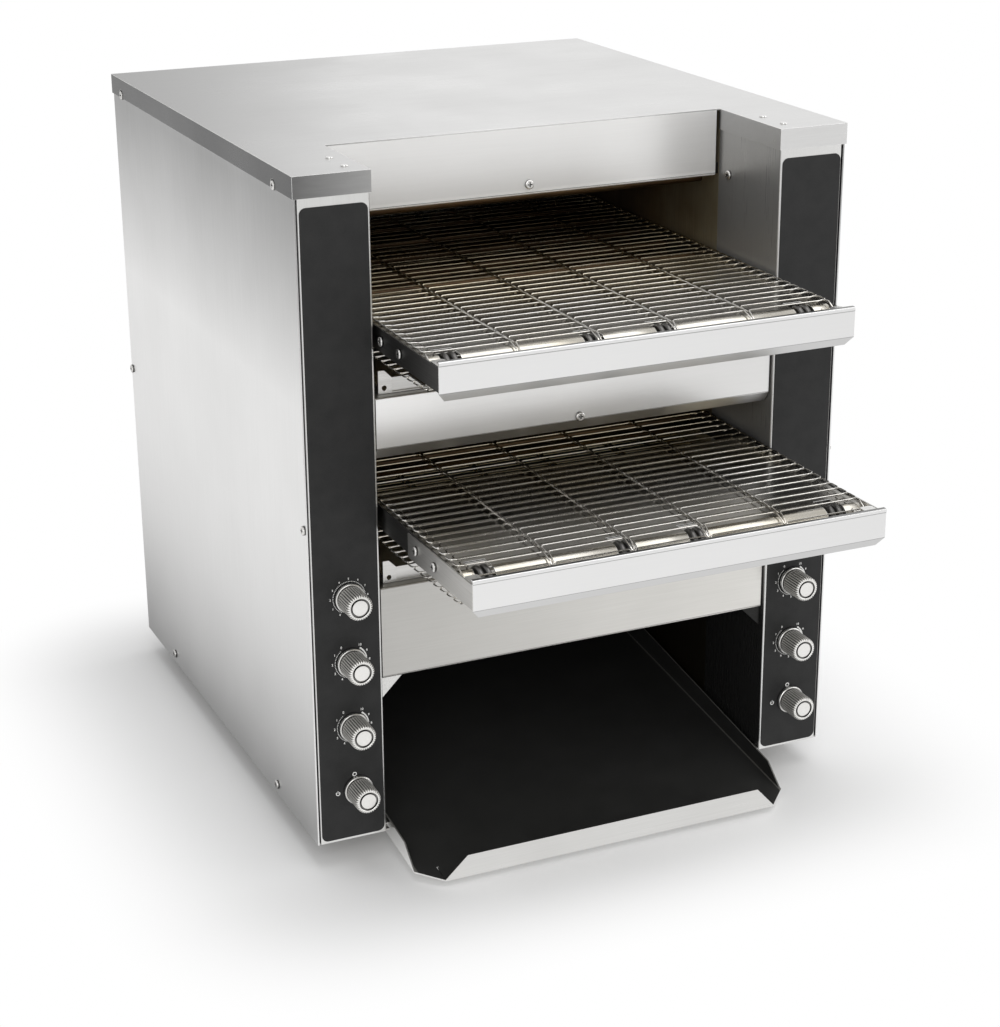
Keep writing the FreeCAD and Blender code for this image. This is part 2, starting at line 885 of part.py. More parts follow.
def lower_front_panel():
    """The panel below the lower belt, with a flange back at its top and bottom."""
    front = s.panel_setback
    back = front + s.sheet
    deep = front + s.panel_flange
    outline = [
        (front, s.outlet_height), (deep, s.outlet_height),
        (deep, s.outlet_height + s.sheet), (back, s.outlet_height + s.sheet),
        (back, lower_panel_top - s.sheet), (deep, lower_panel_top - s.sheet),
        (deep, lower_panel_top), (front, lower_panel_top),
    ]
    width = bay - s.panel_gap
    return piece("lower_front_panel", bent("yz", outline, (-width, width)))


def inner_shelves():
    """Flat shelves from wall to wall: one under each crumb tray and one over the outlet."""
    deep = s.cabinet_depth - s.shelf_rear_inset
    reach = (s.panel_setback + s.panel_flange, deep)
    tops = (middle_panel_top, lower_panel_top, s.outlet_height + s.sheet)
    plates = [block((-bay, bay), reach, (top - s.sheet, top)) for top in tops]
    return piece("inner_shelves", group(*plates))


def outlet_corners():
    """Small triangles in the upper corners of the tray's opening."""
    plates = []
    front = s.gusset_setback
    for side in SIDES.values():
        outline = [
            (side * bay, s.outlet_height),
            (side * (bay - s.gusset_width), s.outlet_height),
            (side * bay, s.outlet_height - s.gusset_drop),
        ]
        plates.append(bent("xz", outline, (front, front + s.sheet)))
    return plates


def hood_angles():
    """Small angles that hold the hood panel's ends to the chamber walls."""
    angles = []
    front = s.hood_setback + s.sheet
    low = hood_bottom + s.sheet
    for side in SIDES.values():
        leaf = block((side * bay, side * (bay - s.bracket_size)), (front, front + s.sheet),
                     (low, low + s.bracket_size))
        foot = block((side * bay, side * (bay - s.sheet)), (front, front + s.bracket_size),
                     (low, low + s.bracket_size))
        angles.append(fuse(leaf, foot))
    return angles


def corner_brackets():
    """The small bright corner pieces of the front."""
    return piece("corner_brackets", group(*outlet_corners(), *hood_angles()))


def chamber_wall(name, side):
    """The inner wall beside both heating chambers, pierced for tubes and shafts."""
    plate = block((side * bay, side * wall_out), (s.hood_setback, rear_in - s.wall_rear_inset),
                  (s.sheet, roof))
    span = (side * (bay - s.sheet), side * (wall_out + s.sheet))
    tube_hole = s.heater_radius + s.heater_hole_gap
    holes = []
    for line in LINES.values():
        for height in (line["height"], line["heater"]):
            for reach in heater_reaches():
                holes.append(rod("x", tube_hole, span, (reach, height)))
        holes.append(rod("x", s.shaft_bush_radius, span, (rear_shaft, line["height"])))
    return piece(f"{name}_chamber_wall", cut(plate, *holes))


def heating_tubes():
    """Round tubes over each belt and between its two runs."""
    reach = wall_out + s.cap_length + s.heater_tail
    tubes = []
    for line in LINES.values():
        for height in (line["height"], line["heater"]):
            for place in heater_reaches():
                tubes.append(rod("x", s.heater_radius, (-reach, reach), (place, height)))
    return piece("heating_tubes", group(*tubes))


def heater_end_caps():
    """Ceramic rings on the heating tubes, outside both chamber walls."""
    rings = []
    bore = s.heater_radius + s.bore_clearance
    for line in LINES.values():
        for height in (line["height"], line["heater"]):
            for place in heater_reaches():
                for side in SIDES.values():
                    span = (side * wall_out, side * (wall_out + s.cap_length))
                    ring = rod("x", s.cap_radius, span, (place, height))
                    rings.append(cut(ring, rod("x", bore, span, (place, height))))
    return piece("heater_end_caps", group(*rings))


def heat_reflectors():
    """A bright ceiling over each chamber, and a bright bed between each belt's runs."""
    plates = []
    front = s.reflector_front + s.hood_hem
    deep = s.cabinet_depth - s.shelf_rear_inset
    for line in LINES.values():
        ceiling = line["heater"] + s.reflector_rise
        bed = line["height"] - s.reflector_drop
        plates.append(block((-bay, bay), (front, deep), (ceiling, ceiling + s.reflector_thickness)))
        plates.append(block((-rail_in, rail_in), (s.bed_front, rear_shaft - s.bed_rear_inset),
                            (bed, bed + s.reflector_thickness)))
    return piece("heat_reflectors", group(*plates))


def rail_pair(name):
    """The two side plates of a conveyor, with bosses that reach the chamber walls."""
    line = LINES[name]
    height = line["height"]
    front = -(line["guard"] - s.sheet) if name == "upper" else -(s.lower_guard_reach - s.lower_rail_setback)
    plates = []
    for side in SIDES.values():
        plate = block((side * rail_in, side * rail_out), (front, rear_shaft + s.rail_tail),
                      (height - s.rail_drop, height + s.rail_rise))
        bosses = [rod("x", s.rail_boss_radius, (side * rail_out, side * bay), (reach, height))
                  for reach in (s.rail_boss_first, s.rail_boss_second, s.rail_boss_third)]
        span = (side * (rail_in - s.sheet), side * (rail_out + s.sheet))
        holes = [rod("x", s.heater_radius + s.heater_hole_gap, span, (reach, height))
                 for reach in heater_reaches()]
        holes.append(rod("x", s.shaft_bush_radius, span, (rear_shaft, height)))
        for reach in line["screws"]:
            holes.append(rod("x", hole_radius, span, (-reach, height + line["screw_rise"])))
        plates.append(cut(fuse(plate, *bosses), *holes))
    return plates


def conveyor_rails():
    """The side plates of both conveyors."""
    return piece("conveyor_rails", group(*rail_pair("upper"), *rail_pair("lower")))


def extension_brackets():
    """The two plates that carry the lower belt's long nose, rising a little to the front."""
    line = LINES["lower"]
    height = line["height"]
    low = height - s.bracket_drop
    high = low + s.bracket_height
    front = -(line["guard"] - s.sheet)
    outline = [
        (-s.bracket_back, low), (-s.bracket_back, high),
        (front, high + s.bracket_lift), (front, low + s.bracket_lift),
    ]
    plates = []
    for side in SIDES.values():
        span = (side * rail_out, side * (rail_out + s.sheet))
        plate = bent("yz", outline, span)
        across = (side * (rail_out - s.sheet), side * (rail_out + s.sheet * 2))
        holes = [rod("x", hole_radius, across, (-reach, height + line["screw_rise"]))
                 for reach in line["screws"]]
        plates.append(cut(plate, *holes))
    return piece("lower_extension_brackets", group(*plates))


def front_guard(name):
    """The bright bar before a belt's nose: a face, a round-cornered lip, and a lug at each end."""
    line = LINES[name]
    front = -line["guard"]
    back = front + s.sheet
    top = line["height"] + s.guard_rise
    fold = top - s.guard_face
    end = fold - s.guard_lip_drop
    width = guard_half
    face = block((-width, width), (front, back), (fold, top))
    lip_outline = [
        (front, fold), (front + s.guard_lip_setback, end),
        (back + s.guard_lip_setback, end), (back, fold),
    ]
    lip = bent("yz", lip_outline, (-width, width))
    deep = (front, back + s.guard_lip_setback)
    corners_off = []
    for side in SIDES.values():
        middle = side * (width - s.guard_corner)
        square = block((middle, side * width), deep, (end, end + s.guard_corner))
        round_end = rod("y", s.guard_corner, deep, (middle, end + s.guard_corner))
        corners_off.append(cut(square, round_end))
    foot = line["height"] + s.rail_rise
    lugs = [
        block((side * rail_out, side * (rail_out - s.guard_lug_width)),
              (back, back + s.guard_lug_length), (foot, foot + s.sheet))
        for side in SIDES.values()
    ]
    return piece(f"{name}_front_guard", fuse(face, cut(lip, *corners_off), *lugs))


def wheel_places():
    """Where the guide wheels sit along a shaft."""
    return [
        -(rail_in - s.wheel_inset_left), -s.wheel_place_left,
        s.wheel_place_right, rail_in - s.wheel_inset_right,
    ]


def nose_plate(line):
    """The bright half-round sheet that a belt turns over, slotted for the wheels."""
    height = line["height"]
    nose = -line["nose"]
    inner = s.nose_radius - s.sheet
    span = (-rail_in, rail_in)
    spot = (nose, height)
    round_front = cut(rod("x", s.nose_radius, span, spot), rod("x", inner, span, spot))
    behind = block(span, (nose, nose + s.nose_radius * 2), (height - s.nose_radius, height + s.nose_radius))
    top = block(span, (nose, nose + s.nose_top_length), (height + inner, height + s.nose_radius))
    low = block(span, (nose, nose + s.nose_bottom_length), (height - s.nose_radius, height - inner))
    gap = s.wheel_hub_width / 2 + s.wheel_slot_gap
    slots = []
    for place in wheel_places():
        reach = (nose - s.wheel_radius - s.wheel_slot_gap, nose + s.wheel_radius + s.wheel_slot_gap)
        rise = (height - s.wheel_radius - s.wheel_slot_gap, height + s.wheel_radius + s.wheel_slot_gap)
        slots.append(block((place - gap, place + gap), reach, rise))
    return cut(fuse(cut(round_front, behind), top, low), *slots)


def nose_plates():
    """The nose sheets of both conveyors."""
    return piece("nose_plates", group(*[nose_plate(line) for line in LINES.values()]))


def wheel(place, spot):
    """A guide wheel: a disc and a hub with a bore for its shaft."""
    disc = rod("x", s.wheel_radius, (place - s.wheel_width / 2, place + s.wheel_width / 2), spot)
    arm = s.wheel_hub_width / 2
    hub = rod("x", s.wheel_hub_radius, (place - arm, place + arm), spot)
    return cut(fuse(disc, hub), rod("x", s.shaft_radius, (place - arm, place + arm), spot))


def nose_end(name):
    """The inner face of the plates that hold a nose shaft."""
    return rail_in if name == "upper" else rail_out


def idler_shaft(name):
    """The plain shaft inside a belt's nose."""
    line = LINES[name]
    spot = (-line["nose"], line["height"])
    return piece(f"{name}_idler_shaft", rod("x", s.shaft_radius, (-nose_end(name), nose_end(name)), spot))


def drive_shaft(name):
    """The rear shaft, which runs on through one wall to its chain wheel."""
    line = LINES[name]
    side = line["drive_side"]
    far = side * (wall_out + s.shaft_tail)
    near = -side * wall_out
    return piece(f"{name}_drive_shaft", rod("x", s.shaft_radius, (near, far), (rear_shaft, line["height"])))


def idler_wheels(name):
    """The four guide wheels fixed on a nose shaft."""
    line = LINES[name]
    spot = (-line["nose"], line["height"])
    wheels = [wheel(place, spot) for place in wheel_places()]
    return piece(f"{name}_idler_wheels", group(*wheels))


def drive_wheels(name):
    """The four belt wheels and the chain wheel fixed on a rear shaft."""
    line = LINES[name]
    spot = (rear_shaft, line["height"])
    wheels = [wheel(place, spot) for place in wheel_places()]
    span = chain_span(line["drive_side"], s.sprocket_width)
    chain_wheel = cut(rod("x", s.sprocket_radius, span, spot), rod("x", s.shaft_radius, span, spot))
    return piece(f"{name}_drive_wheels", group(*wheels, chain_wheel))


def shaft_bush(side, inner, outer, spot):
    """A flanged bush round a shaft."""
    barrel = rod("x", s.shaft_bush_radius, (side * inner, side * outer), spot)
    collar = rod("x", s.bush_collar_radius, (side * (inner - s.bush_collar), side * inner), spot)
    bore = rod("x", s.shaft_radius + s.bore_clearance,
               (side * (inner - s.bush_collar), side * outer), spot)
    return cut(fuse(barrel, collar), bore)


def nose_bush(side, outer, spot):
    """A plain bush fixed on the inner face of a conveyor's side plate."""
    span = (side * (outer - s.nose_bush_length), side * outer)
    bore = rod("x", s.shaft_radius + s.bore_clearance, span, spot)
    return cut(rod("x", s.shaft_bush_radius, span, spot), bore)


def shaft_bushes():
    """A bush at each end of the four shafts."""
    bushes = []
    for name, line in LINES.items():
        for side in SIDES.values():
            bushes.append(nose_bush(side, nose_end(name), (-line["nose"], line["height"])))
            bushes.append(shaft_bush(side, rail_in, wall_out, (rear_shaft, line["height"])))
    return piece("shaft_bushes", group(*bushes))


def belt(name):
    """A wire belt: straight wires at an even pitch, joined by thin endless links inside."""
    line = LINES[name]
    first = (-line["nose"], line["height"])
    second = (rear_shaft, line["height"])
    path = loop_wire(first, second, s.belt_radius, line["sag"])
    count = round(path.Length / float(s.belt_pitch))
    spots = path.discretize(Number=count + 1)[:-1]
    width = float(belt_half)
    start = Vector(-width, 0, 0)
    wires = [Part.makeCylinder(float(s.wire_radius), 2 * width, spot + start, Vector(1, 0, 0))
             for spot in spots]
    outer = s.belt_radius - s.wire_radius
    inner = outer - s.link_thickness
    edge = belt_half - s.link_width / 2 - s.link_edge_inset
    links = []
    for place in (-edge, -(belt_half - s.link_inset), (belt_half - s.link_inset), edge):
        span = (place - s.link_width / 2, place + s.link_width / 2)
        links.append(loop_band(first, second, inner, outer, line["sag"], span))
    return piece(f"{name}_belt", shaped(Part.makeCompound(wires + links)))


def chain_span(side, width):
    """A span of x centred in the chain's plane beside a wall."""
    middle = side * (wall_out + s.chain_inset)
    return (middle - width / 2, middle + width / 2)


def motor_spot(line):
    """The motor's output shaft, straight below the belt's rear shaft."""
    return (rear_shaft, line["height"] - s.motor_drop)


def motor_sprocket(name):
    """The motor's chain wheel with the output shaft that it sits on."""
    line = LINES[name]
    side = line["drive_side"]
    spot = motor_spot(line)
    disc = rod("x", s.sprocket_radius, chain_span(side, s.sprocket_width), spot)
    face = wall_out + s.shaft_tail + s.running_gap
    stub = rod("x", s.output_shaft_radius,
               (side * (wall_out + s.chain_inset), side * (face + s.output_shaft_depth)), spot)
    return piece(f"{name}_motor_sprocket", fuse(disc, stub))


def drive_chains():
    """Both roller chains as plain endless bands round their wheels."""
    chains = []
    for line in LINES.values():
        inner = s.sprocket_radius + s.chain_gap
        span = chain_span(line["drive_side"], s.chain_width)
        chains.append(loop_band((rear_shaft, line["height"]), motor_spot(line), inner,
                                inner + s.chain_thickness, 0, span))
    return piece("drive_chains", shaped(Part.makeCompound(chains)))


def gear_motor(line):
    """A gearbox with the motor can hanging below it and four posts to the wall."""
    side = line["drive_side"]
    reach, height = motor_spot(line)
    face = wall_out + s.shaft_tail + s.running_gap
    back = face + s.gearbox_width
    long = s.gearbox_length / 2
    tall = s.gearbox_height / 2
    case = block((side * face, side * back), (reach - long, reach + long), (height - tall, height + tall))
    can = rod("z", s.motor_radius, (height - tall - s.motor_length, height - tall),
              (side * (face + s.motor_radius), reach))
    posts = []
    for along_y in (-1, 1):
        for up in (-1, 1):
            spot = (reach + along_y * (long - s.standoff_inset), height + up * (tall - s.standoff_inset))
            posts.append(rod("x", s.standoff_radius, (side * wall_out, side * face), spot))
    depth = s.output_shaft_depth + s.running_gap
    bore = rod("x", s.output_shaft_radius + s.bore_clearance, (side * face, side * (face + depth)),
               (reach, height))
    return cut(fuse(case, can, *posts), bore)


def gear_motors():
    """One gear motor for each belt, in the bay on its driven side."""
    return piece("gear_motors", group(*[gear_motor(line) for line in LINES.values()]))


def crumb_tray(name):
    """A shallow tray under a belt, with a low front lip and an eared corner each side."""
    line = LINES[name]
    floor_z = line["shelf"] + s.running_gap
    top = floor_z + s.sheet
    front = s.crumb_setback
    deep = s.cabinet_depth - s.crumb_rear_inset
    width = crumb_half
    inner = width - s.crumb_ear_width
    floor = block((-width, width), (front, deep), (floor_z, top))
    lip = block((-inner, inner), (front + s.sheet, front + s.sheet * 2), (top, floor_z + s.crumb_lip_height))
    ear_top = floor_z + s.crumb_ear_height
    parts = [floor, lip]
    holes = []
    for side in SIDES.values():
        ear_inner = inner - s.sheet
        outline = [
            (side * ear_inner, floor_z), (side * width, floor_z), (side * width, ear_top),
            (side * (ear_inner + s.crumb_ear_chamfer), ear_top),
            (side * ear_inner, ear_top - s.crumb_ear_chamfer),
        ]
        parts.append(bent("xz", outline, (front, front + s.sheet)))
        parts.append(block((side * (width - s.sheet), side * width), (front + s.sheet, deep),
                           (top, floor_z + s.crumb_side_height)))
        middle = side * (inner + s.crumb_ear_width / 2)
        spot = (middle, floor_z + s.crumb_hole_rise)
        holes.append(rod("y", s.crumb_hole_radius, (front - s.sheet, front + s.sheet * 3), spot))
    parts.append(block((-width, width), (deep - s.sheet, deep), (top, floor_z + s.crumb_side_height)))
    return piece(f"{name}_crumb_tray", cut(fuse(*parts), *holes))


def tray_floor(reach):
    """Height of the toast tray's floor at a reach behind the cabinet's face."""
    length = tray_rear + s.tray_front_reach
    return (reach + s.tray_front_reach) * s.tray_rise / length - s.tray_front_height


def product_tray():
    """The toast tray: a sloping floor, a leaning front lip, side walls and level flanges."""
    width = tray_half
    nose = -s.tray_front_reach
    corner = nose + s.tray_corner
    floor_outline = [
        (nose, tray_floor(nose)), (tray_rear, tray_floor(tray_rear)),
        (tray_rear, tray_floor(tray_rear) - s.sheet), (nose, tray_floor(nose) - s.sheet),
    ]
    floor = bent("yz", floor_outline, (-width, width))
    deep = s.tray_front_height * 2 + s.tray_lip_height
    clips = []
    for side in SIDES.values():
        outline = [
            (side * width, nose), (side * (width - s.tray_corner), nose), (side * width, corner),
        ]
        clips.append(bent("xy", outline, (-deep, deep)))
    lip_foot = tray_floor(nose) - s.sheet
    lip_top = tray_floor(nose) + s.tray_lip_height
    lip_outline = [
        (nose, lip_foot), (nose - s.tray_lip_lean, lip_top),
        (nose - s.tray_lip_lean + s.sheet, lip_top), (nose + s.sheet, lip_foot),
    ]
    lip_half = width - s.tray_corner
    lip = bent("yz", lip_outline, (-lip_half, lip_half))
    for side in SIDES.values():
        outline = [
            (side * lip_half, lip_foot + s.sheet), (side * lip_half, lip_top + s.sheet),
            (side * (lip_half - s.tray_lip_mitre), lip_top + s.sheet),
        ]
        clips.append(bent("xz", outline, (nose - s.tray_corner, corner)))
    ride = s.sheet + s.running_gap
    level = (ride + s.tray_front_height) * (tray_rear + s.tray_front_reach) / s.tray_rise
    meet = level - s.tray_front_reach
    parts = [floor, lip]
    for side in SIDES.values():
        back_top = tray_floor(tray_rear) + s.tray_wall
        start_top = corner + s.tray_wall
        wall_outline = [
            (corner, tray_floor(corner) - s.sheet),
            (start_top, tray_floor(start_top) + s.tray_wall - s.tray_corner / 2 + s.sheet),
            (tray_rear, back_top), (tray_rear, ride), (meet, ride),
        ]
        parts.append(bent("yz", wall_outline, (side * (width - s.sheet), side * width)))
        parts.append(block((side * width, side * (width + s.tray_flange)),
                           (s.tray_flange_front, tray_rear), (ride, ride + s.sheet)))
    return piece("product_tray", cut(fuse(*parts), *clips))


def rear_chute():
    """The curved plate that turns the bread over and slides it down onto the tray."""
    sheet = float(s.sheet)
    back = float(rear_in - s.wall_rear_inset)
    top = float(cabinet_height - s.chute_top_drop)
    bend = float(s.chute_bend_height)
    radius = float(s.chute_bend_radius)
    angle = math.radians(float(s.chute_bend_angle))
    tray_end = float(tray_rear + s.panel_gap)

    def run(gap):
        """One face of the plate, drawn in by a gap."""
        r = radius - gap
        centre = Vector(0, back - radius, bend)
        start = centre + Vector(0, r, 0)
        middle = centre + Vector(0, r * math.cos(angle / 2), -r * math.sin(angle / 2))
        end = centre + Vector(0, r * math.cos(angle), -r * math.sin(angle))
        slide = (end.y - tray_end) / math.sin(angle)
        away = end + Vector(0, -math.sin(angle), -math.cos(angle)) * slide
        return Vector(0, start.y, top), start, middle, end, away

    a_top, a_start, a_mid, a_end, a_away = run(0)
    b_top, b_start, b_mid, b_end, b_away = run(sheet)
    edges = [
        Part.LineSegment(a_top, a_start), Part.Arc(a_start, a_mid, a_end),
        Part.LineSegment(a_end, a_away), Part.LineSegment(a_away, b_away),
        Part.LineSegment(b_away, b_end), Part.Arc(b_end, b_mid, b_start),
        Part.LineSegment(b_start, b_top), Part.LineSegment(b_top, a_top),
    ]
    face = Part.Face(Part.Wire([edge.toShape() for edge in edges]))
    plate = face.extrude(point(bay * 2, 0, 0))
    plate.translate(point(-bay, 0, 0))
    return piece("rear_chute", shaped(plate))


def fan_frame():
    """A square fan frame with a round tunnel, four arms and a pin for the rotor."""
    arm = s.fan_size / 2
    front = rear_in - s.fan_depth
    spot = (0, s.fan_height)
    low = s.fan_height - arm
    case = block((-arm, arm), (front, rear_in), (low, low + s.fan_size))
    tunnel = rod("y", s.fan_hole_radius, (front, rear_in), spot)
    hub = rod("y", s.fan_hub_radius, (rear_in - s.fan_arm_depth, rear_in), spot)
    reach = (rear_in - s.fan_arm_depth, rear_in)
    beam = s.fan_arm_width / 2
    level = block((-arm, arm), reach, (s.fan_height - beam, s.fan_height + beam))
    plumb = block((-beam, beam), reach, (low, low + s.fan_size))
    pin = rod("y", s.fan_pin_radius, (rear_in - s.fan_arm_depth - s.fan_pin_length, rear_in), spot)
    return piece("cooling_fan_frame", fuse(cut(case, tunnel), hub, level, plumb, pin))


def fan_rotor():
    """A hub with pitched blades, turning on the frame's pin."""
    back = float(rear_in - s.fan_arm_depth - s.running_gap)
    length = float(s.fan_pin_length)
    hub_radius = float(s.fan_hub_radius)
    depth = float(s.fan_blade_depth)
    hub = Part.makeCylinder(hub_radius, length, Vector(0, back - length, 0), Vector(0, 1, 0))
    sheet = float(s.sheet)
    reach = hub_radius + float(s.fan_blade_length)
    blades = []
    for n in range(FAN_BLADE_COUNT):
        blade = Part.makeBox(sheet, depth, reach - hub_radius / 2)
        blade.translate(Vector(-sheet / 2, -depth / 2, hub_radius / 2))
        blade.rotate(Vector(), Vector(0, 0, 1), BLADE_PITCH_ANGLE)
        blade.translate(Vector(0, back - length / 2, 0))
        blade.rotate(Vector(), Vector(0, 1, 0), 360.0 * n / FAN_BLADE_COUNT)
        blades.append(blade)
    rotor = hub.fuse(blades)
    bore_radius = float(s.fan_pin_radius + s.bore_clearance)
    bore = Part.makeCylinder(bore_radius, length, Vector(0, back - length, 0), Vector(0, 1, 0))
    return piece("cooling_fan_rotor", shaped(rotor.cut(bore)), (0, 0, s.fan_height))


def cable_gland():
    """The gland for the supply cable: collar outside, barrel through the skin, nut inside."""
    spot = (gland_place, s.gland_height)
    inner_end = rear_in - s.gland_tail
    barrel = rod("y", s.gland_radius, (inner_end, rear + s.gland_length), spot)
    collar = rod("y", s.gland_collar_radius, (rear, rear + s.gland_length / 2), spot)
    nut = rod("y", s.gland_collar_radius, (rear_in - s.gland_nut_length, rear_in), spot)
    bore = rod("y", s.gland_bore_radius, (inner_end - s.sheet, rear + s.gland_length + s.sheet), spot)
    return piece("cable_gland", cut(fuse(barrel, collar, nut), bore))


def terminal_block():
    """The block on the floor where the supply cable's wires end."""
    middle = gland_place
    reach = s.cabinet_depth - s.terminal_rear_inset
    low = s.sheet
    case = block((middle - s.terminal_width / 2, middle + s.terminal_width / 2),
                 (reach - s.terminal_depth / 2, reach + s.terminal_depth / 2),
                 (low, low + s.terminal_height))
    holes = []
    for n in range(TERMINAL_COUNT):
        across = middle + s.terminal_pitch * (n - (TERMINAL_COUNT - 1) / 2)
        span = (low + s.terminal_height / 2, low + s.terminal_height + s.sheet)
        holes.append(rod("z", s.terminal_hole_radius, span, (across, reach)))
    return piece("terminal_block", cut(case, *holes))


def speed_boards():
    """Two circuit boards, each on four posts, on the outside of the chamber's front returns."""
    boards = []
    for side in SIDES.values():
        near = wall_out + s.board_post
        low = s.board_bottom
        front = s.board_front
        plate = block((side * near, side * (near + s.board_thickness)),
                      (front, front + s.board_length), (low, low + s.board_height))
        posts = []
        inset = s.standoff_inset
        for reach in (front + inset, front + s.board_length - inset):
            for height in (low + inset, low + s.board_height - inset):
                posts.append(rod("x", s.standoff_radius, (side * wall_out, side * near), (reach, height)))
        boards.append(fuse(plate, *posts))
    return piece("speed_boards", group(*boards))


def screw_shape():
    """A pan-head screw with a cross recess, its head towards +z and its seat at z = 0."""
    head = Part.makeCylinder(float(s.screw_radius), float(s.screw_head))
    rim = [edge for edge in head.Edges if edge.Closed and edge.CenterOfMass.z > 0]
    head = head.makeFillet(float(s.screw_head) / 2, rim)
    shank = Part.makeCylinder(float(s.screw_shank_radius), float(s.screw_shank_length),
                              Vector(), Vector(0, 0, -1))
    wide = float(s.screw_recess_width)
    long = float(s.screw_recess_length)
    deep = float(s.screw_recess_depth)
    floor = float(s.screw_head) - deep
    one = Part.makeBox(long, wide, deep, Vector(-long / 2, -wide / 2, floor))
    two = Part.makeBox(wide, long, deep, Vector(-wide / 2, -long / 2, floor))
    return head.fuse(shank).cut([one, two]).removeSplitter()


FACING = {
    "left": FreeCAD.Rotation(Vector(0, 1, 0), -90),
    "right": FreeCAD.Rotation(Vector(0, 1, 0), 90),
    "front": FreeCAD.Rotation(Vector(1, 0, 0), 90),
}


def side_panel_screws():
    """Six screws on the edges of each side skin."""
    places = []
    for name, side in SIDES.items():
        places += [(name, (side * skin_out, reach, height)) for reach, height in side_screw_spots()]
    return places


def front_panel_screws():
    """One screw on the hood panel, one on the middle panel and one on each inner return."""
    hood = hood_bottom + s.hood_screw_rise
    middle = middle_panel_bottom + s.middle_screw_rise
    places = [("front", (0, s.hood_setback, hood)), ("front", (0, s.panel_setback, middle))]
    for name, side in SIDES.items():
        facing = "right" if name == "left" else "left"
        places.append((facing, (side * bay, s.wall_screw_back, cabinet_height - s.wall_screw_drop)))
    return places


def rail_screws():
    """Two screws on the outside of each conveyor side plate."""
    places = []
    for line_name, line in LINES.items():
        out = rail_out if line_name == "upper" else rail_out + s.sheet
        for name, side in SIDES.items():
            for reach in line["screws"]:
                places.append((name, (side * out, -reach, line["height"] + line["screw_rise"])))
    return places


def panel_screws():
    """All the equal pan-head screws as separate solids; a place is a facing and a seat."""
    pattern = screw_shape()
    copies = []
    for facing, spot in side_panel_screws() + front_panel_screws() + rail_screws():
        copy = pattern.copy()
        copy.Placement = FreeCAD.Placement(point(*spot), FACING[facing])
        copies.append(copy)
    return piece("panel_screws", shaped(Part.makeCompound(copies)))


def build():
    """Every sub-part, from the floor up and from the skins to what they hold."""
    base_pan()
    rubber_feet()
    top_cover()
    cover_rivets()
    back_panel()
    for name, side in SIDES.items():
        side_panel(name, side)
        front_column(name, side)
        control_overlay(name, side)
        chamber_wall(name, side)
        for kind, spot in knob_spots(side):
            knob(name, kind, spot)
    knob_controls()
    speed_boards()
    hood_panel()
    middle_front_panel()
    lower_front_panel()
    corner_brackets()
    inner_shelves()
    heating_tubes()
    heater_end_caps()
    heat_reflectors()
    conveyor_rails()
    extension_brackets()
    nose_plates()
    shaft_bushes()
    for name in LINES:
        front_guard(name)
        idler_shaft(name)
        idler_wheels(name)
        drive_shaft(name)
        drive_wheels(name)
        belt(name)
        motor_sprocket(name)
        crumb_tray(name)
    gear_motors()
    drive_chains()
    product_tray()
    rear_chute()
    fan_frame()
    fan_rotor()
    cable_gland()
    terminal_block()
    panel_screws()


def check():
    """Stops where a feature failed or a sub-part has no valid shape."""
    for feature in doc.Objects:
        if "Invalid" in feature.State or "Error" in feature.State:
            raise RuntimeError(f"{feature.Label} did not recompute")
    for node in nodes:
        if node.Shape.isNull() or not node.Shape.isValid() or not node.Shape.Solids:
            raise RuntimeError(f"{node.Label} has no valid solid")


build()
doc.recompute()
check()
os.makedirs("parts", exist_ok=True)
for node in nodes:
    node.Shape.exportStep(os.path.join("parts", f"{node.Label}.step"))
print(f"{len(nodes)} sub-parts, {sum(len(node.Shape.Solids) for node in nodes)} solids")
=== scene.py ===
import math

import bmesh
import bpy
import numpy as np
from mathutils import Matrix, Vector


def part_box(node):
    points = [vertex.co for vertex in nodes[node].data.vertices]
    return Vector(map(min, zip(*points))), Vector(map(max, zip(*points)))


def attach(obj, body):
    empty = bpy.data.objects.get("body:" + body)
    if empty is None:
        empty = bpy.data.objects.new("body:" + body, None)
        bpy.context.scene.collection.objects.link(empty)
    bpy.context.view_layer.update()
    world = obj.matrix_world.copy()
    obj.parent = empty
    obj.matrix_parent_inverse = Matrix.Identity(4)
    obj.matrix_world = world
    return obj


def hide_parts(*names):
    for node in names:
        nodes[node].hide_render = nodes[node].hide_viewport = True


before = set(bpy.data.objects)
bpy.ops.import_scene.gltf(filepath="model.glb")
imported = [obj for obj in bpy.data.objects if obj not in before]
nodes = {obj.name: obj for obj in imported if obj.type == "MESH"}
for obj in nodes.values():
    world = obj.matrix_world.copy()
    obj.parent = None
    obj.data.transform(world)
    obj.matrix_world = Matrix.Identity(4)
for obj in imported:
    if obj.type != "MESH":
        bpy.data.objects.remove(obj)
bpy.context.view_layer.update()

# Camera: it stands before the left front corner, a little above the toaster, and looks
# along the photograph's lines of sight. The lens covers 1027 pixels on 36 mm of sensor.
camera_place = (-0.7577, -1.6906, 0.9117)
camera_turn, camera_tilt, camera_roll = (math.radians(a) for a in (-24.17, 20.54, -0.37))
back = np.array([math.sin(camera_turn) * math.cos(camera_tilt),
                 -math.cos(camera_turn) * math.cos(camera_tilt), math.sin(camera_tilt)])
level = np.array([math.cos(camera_turn), math.sin(camera_turn), 0.0])
up = np.cross(back, level)
tilted_level = level * math.cos(camera_roll) + up * math.sin(camera_roll)
tilted_up = up * math.cos(camera_roll) - level * math.sin(camera_roll)
lens = bpy.data.cameras.new("camera")
lens.sensor_fit = "VERTICAL"
lens.sensor_height = 36.0
lens.lens = 2258.4 / 1027 * 36.0
lens.clip_start = 0.05
camera = bpy.data.objects.new("camera", lens)
camera.matrix_world = Matrix(np.vstack([
    np.column_stack([tilted_level, tilted_up, back, camera_place]), [0, 0, 0, 1]]).tolist())
